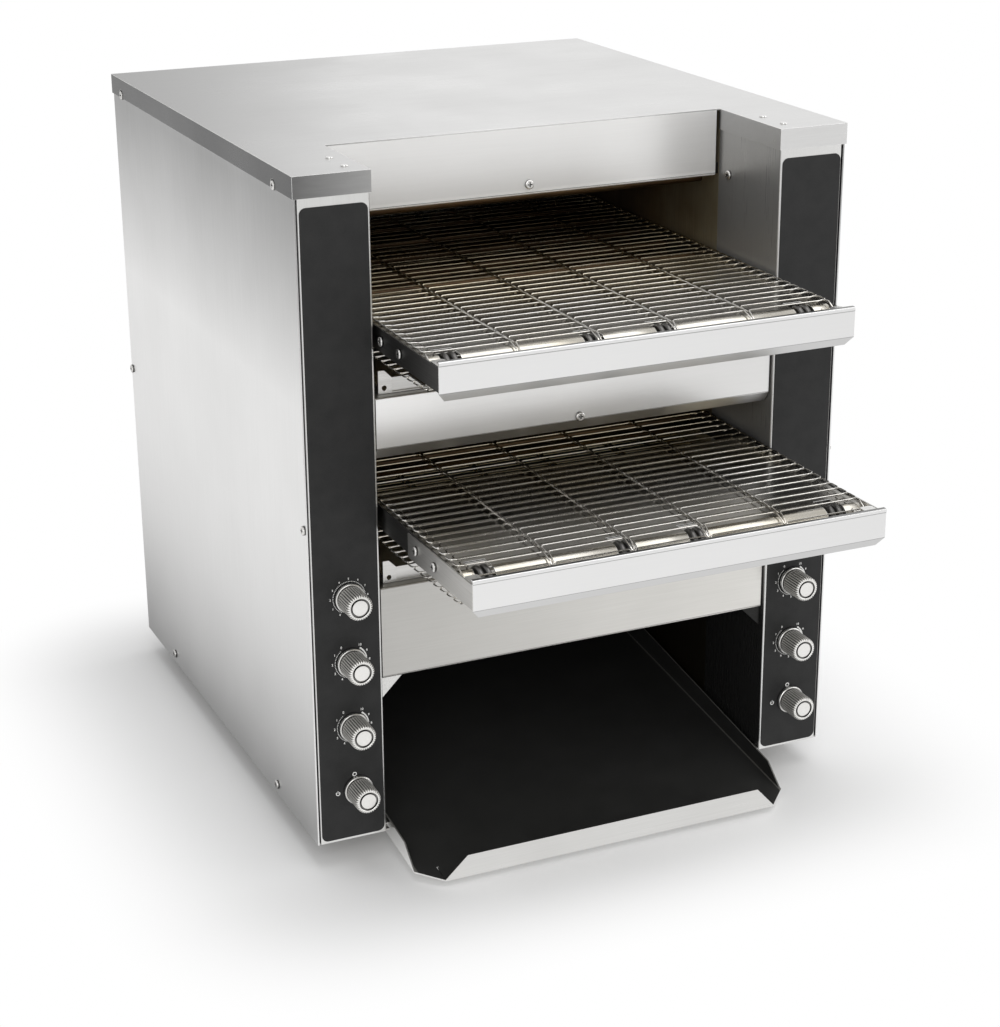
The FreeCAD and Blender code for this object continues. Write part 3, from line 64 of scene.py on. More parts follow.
bpy.context.scene.collection.objects.link(camera)
scene = bpy.context.scene
scene.camera = camera
scene.view_settings.view_transform = "Standard"


def shader_node(tree, kind, sockets=None, **settings):
    """A shader node with its settings; each socket takes a value or another node's output."""
    made = tree.nodes.new("ShaderNode" + kind)
    for name, value in settings.items():
        setattr(made, name, value)
    for name, value in (sockets or {}).items():
        if isinstance(value, bpy.types.NodeSocket):
            tree.links.new(value, made.inputs[name])
        else:
            made.inputs[name].default_value = value
    return made


def shader_group(name, takes, gives):
    """An empty node group with its named sockets, and the two nodes at its ends."""
    group = bpy.data.node_groups.new(name, "ShaderNodeTree")
    for label, kind, value in takes:
        socket = group.interface.new_socket(label, in_out="INPUT", socket_type="NodeSocket" + kind)
        if value is not None:
            socket.default_value = value
    for label, kind in gives:
        group.interface.new_socket(label, in_out="OUTPUT", socket_type="NodeSocket" + kind)
    return group, group.nodes.new("NodeGroupInput"), group.nodes.new("NodeGroupOutput")


# Studio: a pale table top that runs out to white, a white room and three soft lamps: a wide
# one overhead, one at the front left and one at the right. What the steel mirrors is white on
# the right, dim over the middle and pale again far out on the left.
def studio_glow_group():
    """Brightness of the mirrored room, from how far to the right of the middle it lies."""
    group, takes, gives = shader_group(
        "studio_glow", [("Sideways", "Float", 0.0)], [("Brightness", "Float")])
    along = shader_node(group, "MapRange", {0: takes.outputs[0], 1: -1.0, 2: 1.0})
    ramp = shader_node(group, "ValToRGB", {0: along.outputs[0]})
    stops = ramp.color_ramp.elements
    stops[0].position, stops[0].color = 0.28, (0.9, 0.9, 0.9, 1)
    stops[1].position, stops[1].color = 0.75, (0.97, 0.97, 0.97, 1)
    for place, level in ((0.4, 0.8), (0.5, 0.5), (0.6, 0.46), (0.64, 0.54), (0.675, 1.08)):
        stops.new(place).color = (level, level, level, 1)
    group.links.new(ramp.outputs[0], gives.inputs[0])
    return group


studio_glow = studio_glow_group()


def studio_floor():
    """A disc of rings, radius against angle, which lies just under the feet."""
    radius, angle = np.meshgrid(np.array([0.0, 0.8, 1.6, 3.0, 9.0]), np.linspace(0, 2 * np.pi, 49))
    points = np.stack([radius * np.cos(angle), radius * np.sin(angle), radius * 0 - 0.0002], -1)
    index = np.arange(points[..., 0].size).reshape(radius.shape)
    quads = np.stack([index[:-1, :-1], index[:-1, 1:], index[1:, 1:], index[1:, :-1]], -1)
    mesh = bpy.data.meshes.new("studio_floor")
    mesh.from_pydata(points.reshape(-1, 3).tolist(), [], quads.reshape(-1, 4).tolist())
    floor = bpy.data.objects.new("studio_floor", mesh)
    scene.collection.objects.link(floor)
    material = bpy.data.materials.new("pale_table_top")
    material.use_nodes = True
    tree = material.node_tree
    tree.nodes.clear()
    place = shader_node(tree, "TexCoord").outputs["Object"]
    centred = shader_node(tree, "VectorMath", {0: place, 1: (0.0, -0.05, 0.0)}, operation="ADD")
    mirror = shader_node(tree, "VectorMath", {0: centred.outputs[0]}, operation="ABSOLUTE")
    past = shader_node(tree, "VectorMath", {0: mirror.outputs[0], 1: (0.235, 0.24, 0.01)},
                       operation="SUBTRACT")
    outside = shader_node(tree, "VectorMath", {0: past.outputs[0], 1: (0.0, 0.0, 0.0)}, operation="MAXIMUM")
    reach = shader_node(tree, "VectorMath", {0: outside.outputs[0]}, operation="LENGTH")
    fade = shader_node(tree, "MapRange", {0: reach.outputs["Value"], 1: 0.02, 2: 0.19},
                       interpolation_type="SMOOTHSTEP")
    mottle = shader_node(tree, "TexNoise", {"Vector": place, "Scale": 5.0, "Detail": 2.0})
    tone = shader_node(tree, "Mix", {0: mottle.outputs[0], 6: (0.83, 0.83, 0.83, 1),
                                     7: (0.86, 0.86, 0.86, 1)}, data_type="RGBA")
    table = shader_node(tree, "BsdfDiffuse", {"Color": tone.outputs[2]})
    paper = shader_node(tree, "Emission", {"Color": (1, 1, 1, 1), "Strength": 1.0})
    both = shader_node(tree, "MixShader", {0: fade.outputs[0], 1: table.outputs[0], 2: paper.outputs[0]})
    split = shader_node(tree, "SeparateXYZ", {0: place})
    distance = shader_node(tree, "VectorMath", {0: place}, operation="LENGTH")
    # Painted shadow: for mirrored rays the floor glows dimmer close beside the body's sides, from its front
    # backward, so that the side skins mirror a shadow there.
    sideways = shader_node(tree, "Math", {0: split.outputs["X"]}, operation="ABSOLUTE")
    beside = shader_node(tree, "MapRange", {0: sideways.outputs[0], 1: 0.25, 2: 0.42, 3: 0.25, 4: 1.0})
    behind = shader_node(tree, "MapRange", {0: split.outputs["Y"], 1: -0.2, 2: -0.1})
    near = shader_node(tree, "Mix", {0: behind.outputs[0], 2: 1.0, 3: beside.outputs[0]})
    far = shader_node(tree, "MapRange", {0: distance.outputs["Value"], 1: 1.0, 2: 2.6, 3: 1.0, 4: 0.95})
    strength = shader_node(tree, "Math", {0: near.outputs[0], 1: far.outputs[0]}, operation="MULTIPLY")
    mirrored = shader_node(tree, "Emission", {"Color": (1, 1, 1, 1), "Strength": strength.outputs[0]})
    rays = shader_node(tree, "LightPath")
    seen = shader_node(tree, "MixShader", {0: rays.outputs["Is Glossy Ray"], 1: both.outputs[0],
                                           2: mirrored.outputs[0]})
    shader_node(tree, "OutputMaterial", {"Surface": seen.outputs[0]})
    mesh.materials.append(material)
    return floor


studio_floor()

room = bpy.data.worlds.new("white_room")
scene.world = room
room.use_nodes = True
tree = room.node_tree
tree.nodes.clear()
direction = shader_node(tree, "TexCoord").outputs["Generated"]
split = shader_node(tree, "SeparateXYZ", {0: direction})
ceiling = shader_node(tree, "MapRange", {0: split.outputs["Z"], 1: 0.4, 2: 0.95, 3: 1.0, 4: 0.7},
                      interpolation_type="SMOOTHSTEP")
glow = shader_node(tree, "Group", {}, node_tree=studio_glow)
tree.links.new(split.outputs["X"], glow.inputs[0])
mirrored = shader_node(tree, "Math", {0: ceiling.outputs[0], 1: glow.outputs[0]}, operation="MULTIPLY")
rays = shader_node(tree, "LightPath")
soft = shader_node(tree, "Mix", {0: rays.outputs["Is Glossy Ray"], 2: 0.62, 3: mirrored.outputs[0]})
seen = shader_node(tree, "Mix", {0: rays.outputs["Is Camera Ray"], 2: soft.outputs[0], 3: 1.0})
light = shader_node(tree, "Background", {"Color": (1, 1, 1, 1), "Strength": seen.outputs[0]})
shader_node(tree, "OutputWorld", {"Surface": light.outputs[0]})


def soft_lamp(name, place, aim, size, power):
    """A square lamp that looks from its place to a point."""
    data = bpy.data.lights.new(name, "AREA")
    data.shape = "SQUARE"
    data.size = size
    data.energy = power
    lamp = bpy.data.objects.new(name, data)
    away = np.subtract(place, aim) / np.linalg.norm(np.subtract(place, aim))
    side = np.cross((0.0, 1.0, 0.0) if abs(away[2]) > 0.9 else (0.0, 0.0, 1.0), away)
    side /= np.linalg.norm(side)
    lamp.matrix_world = Matrix(np.vstack([
        np.column_stack([side, np.cross(away, side), away, place]), [0, 0, 0, 1]]).tolist())
    scene.collection.objects.link(lamp)


soft_lamp("overhead_lamp", (0.25, -0.35, 2.4), (0.0, 0.0, 0.3), 2.2, 26.0)
soft_lamp("front_lamp", (-1.1, -2.3, 1.5), (0.0, 0.0, 0.3), 1.4, 14.0)
soft_lamp("right_lamp", (2.2, -1.2, 1.2), (0.0, 0.0, 0.3), 1.4, 10.0)


# Base pan and feet: a folded steel floor, open at the front for the tray, on four turned
# rubber feet. The first steel finish is made here: rolled sheet whose brushed grain runs in
# fine streaks along one axis, over faint clouds.
face_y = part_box("left_front_column")[0][1]
pan_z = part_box("base_pan")[0][2]


def spot(across, behind, above):
    """Points in metres from sizes in millimetres: across, behind the face, above the floor pan."""
    points = np.stack(np.broadcast_arrays(across, behind, above), -1).astype(float)
    return points * 0.001 + (0.0, face_y, pan_z)


def brushed_grain_group():
    """Colour, roughness and height of brushed sheet: streaks and clouds mixed half and half."""
    group, takes, gives = shader_group(
        "brushed_grain",
        [("Streaks", "Vector", None), ("Clouds", "Vector", None), ("Light", "Color", (0.7, 0.7, 0.7, 1)),
         ("Dark", "Color", (0.55, 0.55, 0.55, 1)), ("Smooth", "Float", 0.25), ("Rough", "Float", 0.4)],
        [("Color", "Color"), ("Roughness", "Float"), ("Height", "Float")])
    streaks = shader_node(group, "TexNoise", {"Vector": takes.outputs["Streaks"], "Scale": 1.0,
                                              "Detail": 4.0, "Roughness": 0.65})
    clouds = shader_node(group, "TexNoise", {"Vector": takes.outputs["Clouds"], "Scale": 9.0,
                                             "Detail": 3.0, "Roughness": 0.55})
    both = shader_node(group, "Math", {0: streaks.outputs[0], 1: clouds.outputs[0]}, operation="ADD")
    amount = shader_node(group, "MapRange", {0: both.outputs[0], 1: 0.7, 2: 1.3})
    tone = shader_node(group, "Mix", {0: amount.outputs[0], 6: takes.outputs["Dark"],
                                      7: takes.outputs["Light"]}, data_type="RGBA")
    rough = shader_node(group, "Mix", {0: amount.outputs[0], 2: takes.outputs["Rough"],
                                       3: takes.outputs["Smooth"]})
    group.links.new(tone.outputs[2], gives.inputs["Color"])
    group.links.new(rough.outputs[0], gives.inputs["Roughness"])
    group.links.new(streaks.outputs[0], gives.inputs["Height"])
    return group


brushed_grain = brushed_grain_group()
ALONG = {"x": (14.0, 900.0, 900.0), "y": (900.0, 14.0, 900.0), "z": (900.0, 900.0, 14.0),
         "none": (420.0, 420.0, 420.0)}


def finish_of(name, **sockets):
    """A material with a Principled shader, and the shader's own sockets set by their names."""
    material = bpy.data.materials.new(name)
    material.use_nodes = True
    shader = material.node_tree.nodes["Principled BSDF"]
    for label, value in sockets.items():
        shader.inputs[label.replace("_", " ")].default_value = value
    return material, material.node_tree, shader


def steel(name, light, dark, smooth, rough, grain="x", lift=0.12, **sockets):
    """Brushed steel whose grain runs along an axis; light and dark are its two tones."""
    material, tree, shader = finish_of(name, **{"Metallic": 1.0, **sockets})
    place = shader_node(tree, "TexCoord").outputs["Object"]
    drawn = shader_node(tree, "Mapping", {"Vector": place, "Scale": ALONG[grain]})
    brushed = shader_node(tree, "Group", node_tree=brushed_grain)
    tree.links.new(drawn.outputs[0], brushed.inputs["Streaks"])
    tree.links.new(place, brushed.inputs["Clouds"])
    for label, value in (("Light", (*light, 1)), ("Dark", (*dark, 1)), ("Smooth", smooth), ("Rough", rough)):
        brushed.inputs[label].default_value = value
    bump = shader_node(tree, "Bump", {"Strength": lift, "Distance": 0.0002,
                                      "Height": brushed.outputs["Height"]})
    tree.links.new(brushed.outputs["Color"], shader.inputs["Base Color"])
    tree.links.new(brushed.outputs["Roughness"], shader.inputs["Roughness"])
    tree.links.new(bump.outputs[0], shader.inputs["Normal"])
    return material


def place_of(tree):
    """X, Y and Z of each point of a piece, as the outputs of a node."""
    place = next(n for n in tree.nodes if n.type == "TEX_COORD").outputs["Object"]
    return shader_node(tree, "SeparateXYZ", {0: place}).outputs


def facing_of(tree):
    """X, Y and Z of the way that each face looks, as the outputs of a node."""
    normal = shader_node(tree, "NewGeometry").outputs["True Normal"]
    return shader_node(tree, "SeparateXYZ", {0: normal}).outputs


def scaled_by(material, factor):
    """Multiplies a steel's colour by the number that a node puts out."""
    tree = material.node_tree
    colour = tree.nodes["Principled BSDF"].inputs["Base Color"]
    scaled = shader_node(tree, "VectorMath", {0: colour.links[0].from_socket}, operation="SCALE")
    tree.links.new(factor.outputs[0], scaled.inputs["Scale"])
    tree.links.new(scaled.outputs[0], colour)
    return material


def toned(material, axis, start, stop, first, last):
    """Paints light and shade along an axis: scales a steel's colour from one factor at a first place to
    another at a second.
    """
    tree = material.node_tree
    span = {0: place_of(tree)[axis], 1: start, 2: stop, 3: first, 4: last}
    return scaled_by(material, shader_node(tree, "MapRange", span))


def scored(material, last, *heights):
    """Paints thin lines of crease shade across a steel sheet: its colour is scaled within 0.3 mm of each
    height.
    """
    tree = material.node_tree
    above = place_of(tree)["Z"]
    for height in heights:
        near = shader_node(tree, "Math", {0: above, 1: height, 2: 0.0003}, operation="COMPARE")
        scaled_by(material, shader_node(tree, "MapRange", {0: near.outputs[0], 3: 1.0, 4: last}))
    return material


def facing_toned(material, axis, start, stop, last, metal=None):
    """Paints light and shade by the way faces look: scales a steel's colour, fully where the normal passes
    the second value.
    """
    tree = material.node_tree
    facing = facing_of(tree)[axis]
    scaled_by(material, shader_node(tree, "MapRange", {0: facing, 1: start, 2: stop, 3: 1.0, 4: last}))
    if metal is not None:
        dulled = shader_node(tree, "MapRange", {0: facing, 1: start, 2: stop, 3: 1.0, 4: metal})
        tree.links.new(dulled.outputs[0], tree.nodes["Principled BSDF"].inputs["Metallic"])
    return material


def coat(material, *names):
    """Gives CAD nodes a material in place of the frame's own."""
    for name in names:
        nodes[name].data.materials.clear()
        nodes[name].data.materials.append(material)


def edged(material, width, *names):
    """Joins a CAD node's faces and rounds the sharp edges; the new faces take the edge's material."""
    for name in names:
        nodes[name].data.materials.append(material)
        nodes[name].modifiers.new("joined_faces", "WELD").merge_threshold = 2e-6
        flat = nodes[name].modifiers.new("flat_faces", "DECIMATE")
        flat.decimate_type = "DISSOLVE"
        flat.angle_limit = math.radians(1)
        bevel = nodes[name].modifiers.new("broken_edges", "BEVEL")
        bevel.width = width
        bevel.segments = 2
        bevel.limit_method = "ANGLE"
        bevel.angle_limit = math.radians(50)
        bevel.material = 1


cut_edge = steel("bright_cut_edge", (0.86, 0.855, 0.84), (0.74, 0.735, 0.72), 0.16, 0.28, "none", 0.05)
inner_sheet = steel("inner_sheet_steel", (0.6, 0.59, 0.57), (0.48, 0.47, 0.45), 0.34, 0.5)
coat(inner_sheet, "base_pan")
edged(cut_edge, 0.0003, "base_pan")


def grid_quads(rows, columns, wrap):
    """Quads between the points of a grid; wrap joins its last column to its first."""
    index = np.arange(rows * columns).reshape(rows, columns)
    if wrap:
        index = np.concatenate([index, index[:, :1]], axis=1)
    return np.stack([index[:-1, :-1], index[1:, :-1], index[1:, 1:], index[:-1, 1:]], -1).reshape(-1, 4)


def make_piece(name, patches, materials, body="cabinet", instead_of=(), edge=0.0, crease=38):
    """One object from patches, each a grid of points, whether it wraps, and a material's number."""
    points, faces, looks, start = [], [], [], 0
    for grid, wrap, look in patches:
        grid = np.asarray(grid, float)
        quads = grid_quads(grid.shape[0], grid.shape[1], wrap) + start
        points.append(grid.reshape(-1, 3))
        faces.append(quads)
        looks.append(np.full(len(quads), look))
        start += points[-1].shape[0]
    mesh = bpy.data.meshes.new(name)
    mesh.from_pydata(np.concatenate(points).tolist(), [], np.concatenate(faces).tolist())
    mesh.polygons.foreach_set("material_index", np.concatenate(looks).astype(np.int32))
    welded = bmesh.new()
    welded.from_mesh(mesh)
    bmesh.ops.remove_doubles(welded, verts=welded.verts, dist=2e-6)
    bmesh.ops.dissolve_degenerate(welded, edges=welded.edges, dist=1e-6)
    welded.to_mesh(mesh)
    welded.free()
    mesh.shade_smooth()
    mesh.set_sharp_from_angle(angle=math.radians(crease))
    for material in materials:
        mesh.materials.append(material)
    made = bpy.data.objects.new(name, mesh)
    scene.collection.objects.link(made)
    if edge:
        bevel = made.modifiers.new("broken_edges", "BEVEL")
        bevel.width = edge
        bevel.segments = 2
        bevel.limit_method = "ANGLE"
        bevel.angle_limit = math.radians(50)
        bevel.harden_normals = True
    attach(made, body)
    if instead_of:
        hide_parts(*instead_of)
    return made


def turned(outline, centre, axis="z", sectors=40):
    """A lathe's work: each outline point is a radius and a place along the axis, turned round it."""
    outline = np.asarray(outline, float)
    angle = np.linspace(0, 2 * np.pi, sectors, endpoint=False)
    radius, place = outline[:, :1], outline[:, 1:] + 0 * angle
    one, two = radius * np.cos(angle), radius * np.sin(angle)
    across, behind, above = centre
    if axis == "z":
        return spot(across + one, behind + two, above + place)
    if axis == "x":
        return spot(across + place, behind + one, above + two)
    return spot(across + two, behind + place, above + one)


def rubber(name, tone):
    """Moulded rubber: nearly black, with the fine sandy skin of its mould and pale dust."""
    material, tree, shader = finish_of(name)
    place = shader_node(tree, "TexCoord").outputs["Object"]
    sand = shader_node(tree, "TexNoise", {"Vector": place, "Scale": 1400.0, "Detail": 2.0})
    dust = shader_node(tree, "TexNoise", {"Vector": place, "Scale": 60.0, "Detail": 4.0})
    mixed = shader_node(tree, "Mix", {0: dust.outputs[0], 6: (*tone, 1), 7: (*[t * 1.7 for t in tone], 1)},
                        data_type="RGBA")
    rough = shader_node(tree, "MapRange", {0: dust.outputs[0], 1: 0.3, 2: 0.7, 3: 0.55, 4: 0.75})
    bump = shader_node(tree, "Bump", {"Strength": 0.3, "Distance": 0.0003, "Height": sand.outputs[0]})
    tree.links.new(mixed.outputs[2], shader.inputs["Base Color"])
    tree.links.new(rough.outputs[0], shader.inputs["Roughness"])
    tree.links.new(bump.outputs[0], shader.inputs["Normal"])
    return material


foot_rubber = rubber("foot_rubber", (0.018, 0.018, 0.018))
foot_outline = [(0, -24), (8.8, -24), (10.2, -23.4), (10.8, -22), (12.5, -3), (12.5, -0.8), (11.9, 0), (0, 0)]
foot_places = [(x, y) for x in (-190, 190) for y in (80, 440)]
make_piece("turned_rubber_feet", [(turned(foot_outline[::-1], (x, y, 0)), True, 0) for x, y in foot_places],
           [foot_rubber], instead_of=["rubber_feet"])


# Chambers: two steel walls from floor to roof, plain shelves between them, bright ceilings
# and beds that throw the heat back, and the curved rear plate that turns the toast over. Heat
# has browned them, more so further in.
def heat_tint_group():
    """Straw to brown to near-black oxide: a mask of how hot the steel ran picks a colour on a ramp."""
    group, takes, gives = shader_group(
        "heat_tint", [("Vector", "Vector", None), ("Steel", "Color", (0.6, 0.6, 0.6, 1)),
                      ("Heat", "Float", 0.5), ("Uneven", "Float", 0.4)],
        [("Color", "Color"), ("Mask", "Float")])
    patchy = shader_node(group, "TexNoise", {"Vector": takes.outputs["Vector"], "Scale": 14.0,
                                             "Detail": 4.0, "Roughness": 0.6})
    centred = shader_node(group, "Math", {0: patchy.outputs[0], 1: 0.5}, operation="SUBTRACT")
    spread = shader_node(group, "Math", {0: centred.outputs[0], 1: takes.outputs["Uneven"],
                                         2: takes.outputs["Heat"]}, operation="MULTIPLY_ADD")
    ramp = shader_node(group, "ValToRGB", {0: spread.outputs[0]})
    stops = ramp.color_ramp.elements
    stops[0].color = (1.0, 0.99, 0.97, 1)
    stops[1].color = (0.16, 0.13, 0.1, 1)
    for place, colour in ((0.3, (0.86, 0.76, 0.55, 1)), (0.55, (0.55, 0.4, 0.24, 1)),
                          (0.75, (0.3, 0.22, 0.16, 1))):
        stops.new(place).color = colour
    tinted = shader_node(group, "Mix", {0: 1.0, 6: takes.outputs["Steel"], 7: ramp.outputs[0]},
                         data_type="RGBA", blend_type="MULTIPLY")
    group.links.new(tinted.outputs[2], gives.inputs["Color"])
    group.links.new(spread.outputs[0], gives.inputs["Mask"])
    return group


heat_tint = heat_tint_group()


def heated_steel(name, light, dark, smooth, rough, grain, near, far, cool, hot, uneven=0.5):
    """Brushed steel browned by heat, which grows from cool to hot between two depths behind the face."""
    material = steel(name, light, dark, smooth, rough, grain)
    tree = material.node_tree
    shader = tree.nodes["Principled BSDF"]
    brushed = next(n for n in tree.nodes if n.type == "GROUP")
    place = next(n for n in tree.nodes if n.type == "TEX_COORD").outputs["Object"]
    depth = shader_node(tree, "SeparateXYZ", {0: place})
    heat = shader_node(tree, "MapRange", {0: depth.outputs["Y"], 1: face_y + near * 0.001,
                                          2: face_y + far * 0.001, 3: cool, 4: hot},
                       interpolation_type="SMOOTHSTEP")
    tinted = shader_node(tree, "Group", node_tree=heat_tint)
    tinted.inputs["Uneven"].default_value = uneven
    tree.links.new(place, tinted.inputs["Vector"])
    tree.links.new(heat.outputs[0], tinted.inputs["Heat"])
    tree.links.new(brushed.outputs["Color"], tinted.inputs["Steel"])
    tree.links.new(tinted.outputs["Color"], shader.inputs["Base Color"])
    return material


chamber_steel = heated_steel("browned_chamber_steel", (0.56, 0.545, 0.5), (0.38, 0.37, 0.34), 0.32, 0.5,
                             "z", 100, 300, 0.3, 0.72)
chamber_steel.node_tree.nodes["Principled BSDF"].inputs["Metallic"].default_value = 0.78
# Painted shade: the chamber walls are painted darker towards the bottom, down to a tenth of their colour.
toned(chamber_steel, "Z", 0.15, 0.21, 0.1, 1.0)
reflector_steel = heated_steel("browned_reflector_steel", (0.72, 0.7, 0.66), (0.58, 0.56, 0.52), 0.2, 0.34,
                               "x", 90, 260, 0.3, 0.75)
shelf_steel = steel("shelf_steel", (0.55, 0.54, 0.52), (0.42, 0.41, 0.39), 0.35, 0.5)
coat(chamber_steel, "left_chamber_wall", "right_chamber_wall", "rear_chute")
coat(reflector_steel, "heat_reflectors")
coat(shelf_steel, "inner_shelves")


# Heating tubes: straight metal tubes, dark with oxide, whose ends sit in pale ceramic rings
# outside the chamber walls.
tube_steel = heated_steel("oxidised_tube", (0.3, 0.27, 0.24), (0.18, 0.16, 0.14), 0.35, 0.55,
                          "x", 60, 200, 0.5, 0.8, 0.7)
coat(tube_steel, "heating_tubes")


def speckled(name, light, dark, scale, rough, lift=0.2, **sockets):
    """A cast or fired surface: two close tones in fine specks, with a slightly sandy skin."""
    material, tree, shader = finish_of(name, **sockets)
    place = shader_node(tree, "TexCoord").outputs["Object"]
    specks = shader_node(tree, "TexNoise", {"Vector": place, "Scale": scale, "Detail": 3.0, "Roughness": 0.7})
    clouds = shader_node(tree, "TexNoise", {"Vector": place, "Scale": scale / 22, "Detail": 2.0})
    both = shader_node(tree, "Math", {0: specks.outputs[0], 1: clouds.outputs[0]}, operation="ADD")
    amount = shader_node(tree, "MapRange", {0: both.outputs[0], 1: 0.75, 2: 1.25})
    tone = shader_node(tree, "Mix", {0: amount.outputs[0], 6: (*dark, 1), 7: (*light, 1)}, data_type="RGBA")
    gloss = shader_node(tree, "MapRange", {0: amount.outputs[0], 3: rough * 1.12, 4: rough * 0.88})
    bump = shader_node(tree, "Bump", {"Strength": lift, "Distance": 0.0002, "Height": specks.outputs[0]})
    tree.links.new(tone.outputs[2], shader.inputs["Base Color"])
    tree.links.new(gloss.outputs[0], shader.inputs["Roughness"])
    tree.links.new(bump.outputs[0], shader.inputs["Normal"])
    return material


coat(speckled("fired_ceramic", (0.75, 0.72, 0.66), (0.6, 0.57, 0.5), 900, 0.6), "heater_end_caps")


# Conveyor sides: dark steel rails from the chamber walls to the noses, with blackened bushes
# for the shafts, and light brackets that carry the lower nose further out.
rail_steel = steel("dark_rail_steel", (0.1, 0.098, 0.095), (0.055, 0.054, 0.052), 0.3, 0.44, "y", 0.1)
# Painted highlight: the rails' rounded edges take a near-white steel.
rail_edge = steel("rail_edge_painted_highlight", (0.88, 0.87, 0.85), (0.7, 0.69, 0.67), 0.2, 0.34, "y", 0.05)
bracket_steel = steel("bracket_steel", (0.58, 0.57, 0.55), (0.42, 0.41, 0.39), 0.26, 0.4, "y", 0.1)
bush_steel = steel("blackened_bush", (0.14, 0.13, 0.12), (0.08, 0.075, 0.07), 0.3, 0.45, "none")
coat(rail_steel, "conveyor_rails")
coat(bracket_steel, "lower_extension_brackets")
coat(bush_steel, "shaft_bushes")
edged(rail_edge, 0.0005, "conveyor_rails")
edged(cut_edge, 0.0003, "lower_extension_brackets")


# Noses: a bright half-round sheet that each belt turns over, slotted for the guide wheels.
# Bread fat has browned it a little, most of all where it leaves the chamber.
nose_steel = heated_steel("nose_sheet_steel", (0.64, 0.628, 0.6), (0.52, 0.508, 0.48), 0.16, 0.28,
                          "x", -60, 100, 0.05, 0.5, 0.35)
# Painted shade: the flat top, which looks straight up, is painted at half its colour, standing for the shade
# and dark reflections under the belt.
facing_toned(nose_steel, "Z", 0.985, 0.999, 0.48)
coat(nose_steel, "nose_plates")
edged(cut_edge, 0.0003, "nose_plates")


# Shafts and guide wheels: ground steel shafts; each nose shaft carries four wheels whose two
# rounded lobes leave a valley between them for the belt's hooks. The rear ones are plain.
shaft_steel = steel("ground_shaft_steel", (0.5, 0.49, 0.47), (0.36, 0.35, 0.33), 0.2, 0.34, "none", 0.05)
wheel_steel = steel("dark_wheel_steel", (0.16, 0.155, 0.15), (0.09, 0.088, 0.085), 0.26, 0.42, "none")
coat(shaft_steel, "upper_idler_shaft", "lower_idler_shaft", "upper_drive_shaft", "lower_drive_shaft")
coat(wheel_steel, "upper_drive_wheels", "lower_drive_wheels")
nose_reach = {"upper": 85.0, "lower": 141.5}
belt_height = {"upper": 413.5, "lower": 268.5}
turn = np.linspace(0, np.pi, 9)
lobe = np.column_stack([9.7 + 2.2 * np.sin(turn), 3.1 - 2.3 * np.cos(turn)])
wheel_half = np.vstack([[(8.2, 0.0), (8.6, 0.4)], lobe, [(7.2, 5.6), (6.6, 6.0), (4.05, 6.0)]])
wheel_outline = np.vstack([wheel_half[::-1] * (1, -1), wheel_half[1:]])
for line in ("upper", "lower"):
    wheels = []
    for place in (-150.0, -35.0, 25.0, 146.0):
        ring = np.vstack([wheel_outline, wheel_outline[:1]]) + (0.0, place)
        wheels.append((turned(ring, (0.0, -nose_reach[line], belt_height[line]), "x")[::-1], True, 0))
    make_piece(f"{line}_guide_wheels", wheels, [wheel_steel], f"{line}_idler",
               [f"{line}_idler_wheels"])


# Belts: about ninety straight wires across, 12.7 mm apart. Each wire hooks round the one ahead
# of it at four joints and curls back on it at both edges, so that the hooks stand in rows.
def belt_path(line, sag):
    """Points once round the nose and the rear shaft, the lower run hanging in an arc, with their length."""
    nose, height, radius, rear = -nose_reach[line], belt_height[line], 13.0, 390.0
    run = np.linspace(0, 1, 120)
    half_turn = np.linspace(0, np.pi, 40)
    top = np.column_stack([nose + (rear - nose) * run, height + radius + 0 * run])
    rear_round = np.column_stack([rear + radius * np.sin(half_turn), height + radius * np.cos(half_turn)])
    low = np.column_stack([rear + (nose - rear) * run, height - radius - sag * 4 * run * (1 - run)])
    nose_round = np.column_stack([nose - radius * np.sin(half_turn), height - radius * np.cos(half_turn)])
    path = np.vstack([top[:-1], rear_round[:-1], low[:-1], nose_round])
    length = np.concatenate([[0], np.cumsum(np.linalg.norm(np.diff(path, axis=0), axis=1))])
    return path, length


def wire_shape(pitch):
    """One wire's bends: place across, shift along the belt and lift off it, in millimetres."""
    end = np.array([(160.0, -pitch + 2.6, -1.2), (160.2, -pitch - 0.4, -0.9), (161.4, -pitch - 1.5, 0.1),
                    (164.0, -pitch - 1.6, 0.8), (167.0, -pitch - 1.2, 1.0), (168.8, -pitch + 1.2, 1.0),
                    (168.9, -4.0, 0.8), (168.3, -1.0, 0.3), (166.4, 0.0, 0.0)])
    hook = np.array([(-3.4, 0.0, 0.0), (-2.3, -1.0, 0.6), (-1.7, -pitch + 1.0, 1.0),
                     (-1.0, -pitch - 1.0, 0.7), (0.0, -pitch - 1.5, 0.0), (1.0, -pitch - 1.0, -0.7),
                     (1.7, -pitch + 1.0, -1.0), (2.3, -1.0, -0.6), (3.4, 0.0, 0.0)])
    joints = [hook + (place, 0.0, 0.0) for place in (98.0, 32.0, -32.0, -98.0)]
    return np.vstack([end] + [joint[::-1] for joint in joints] + [end[::-1] * (-1, 1, 1)])


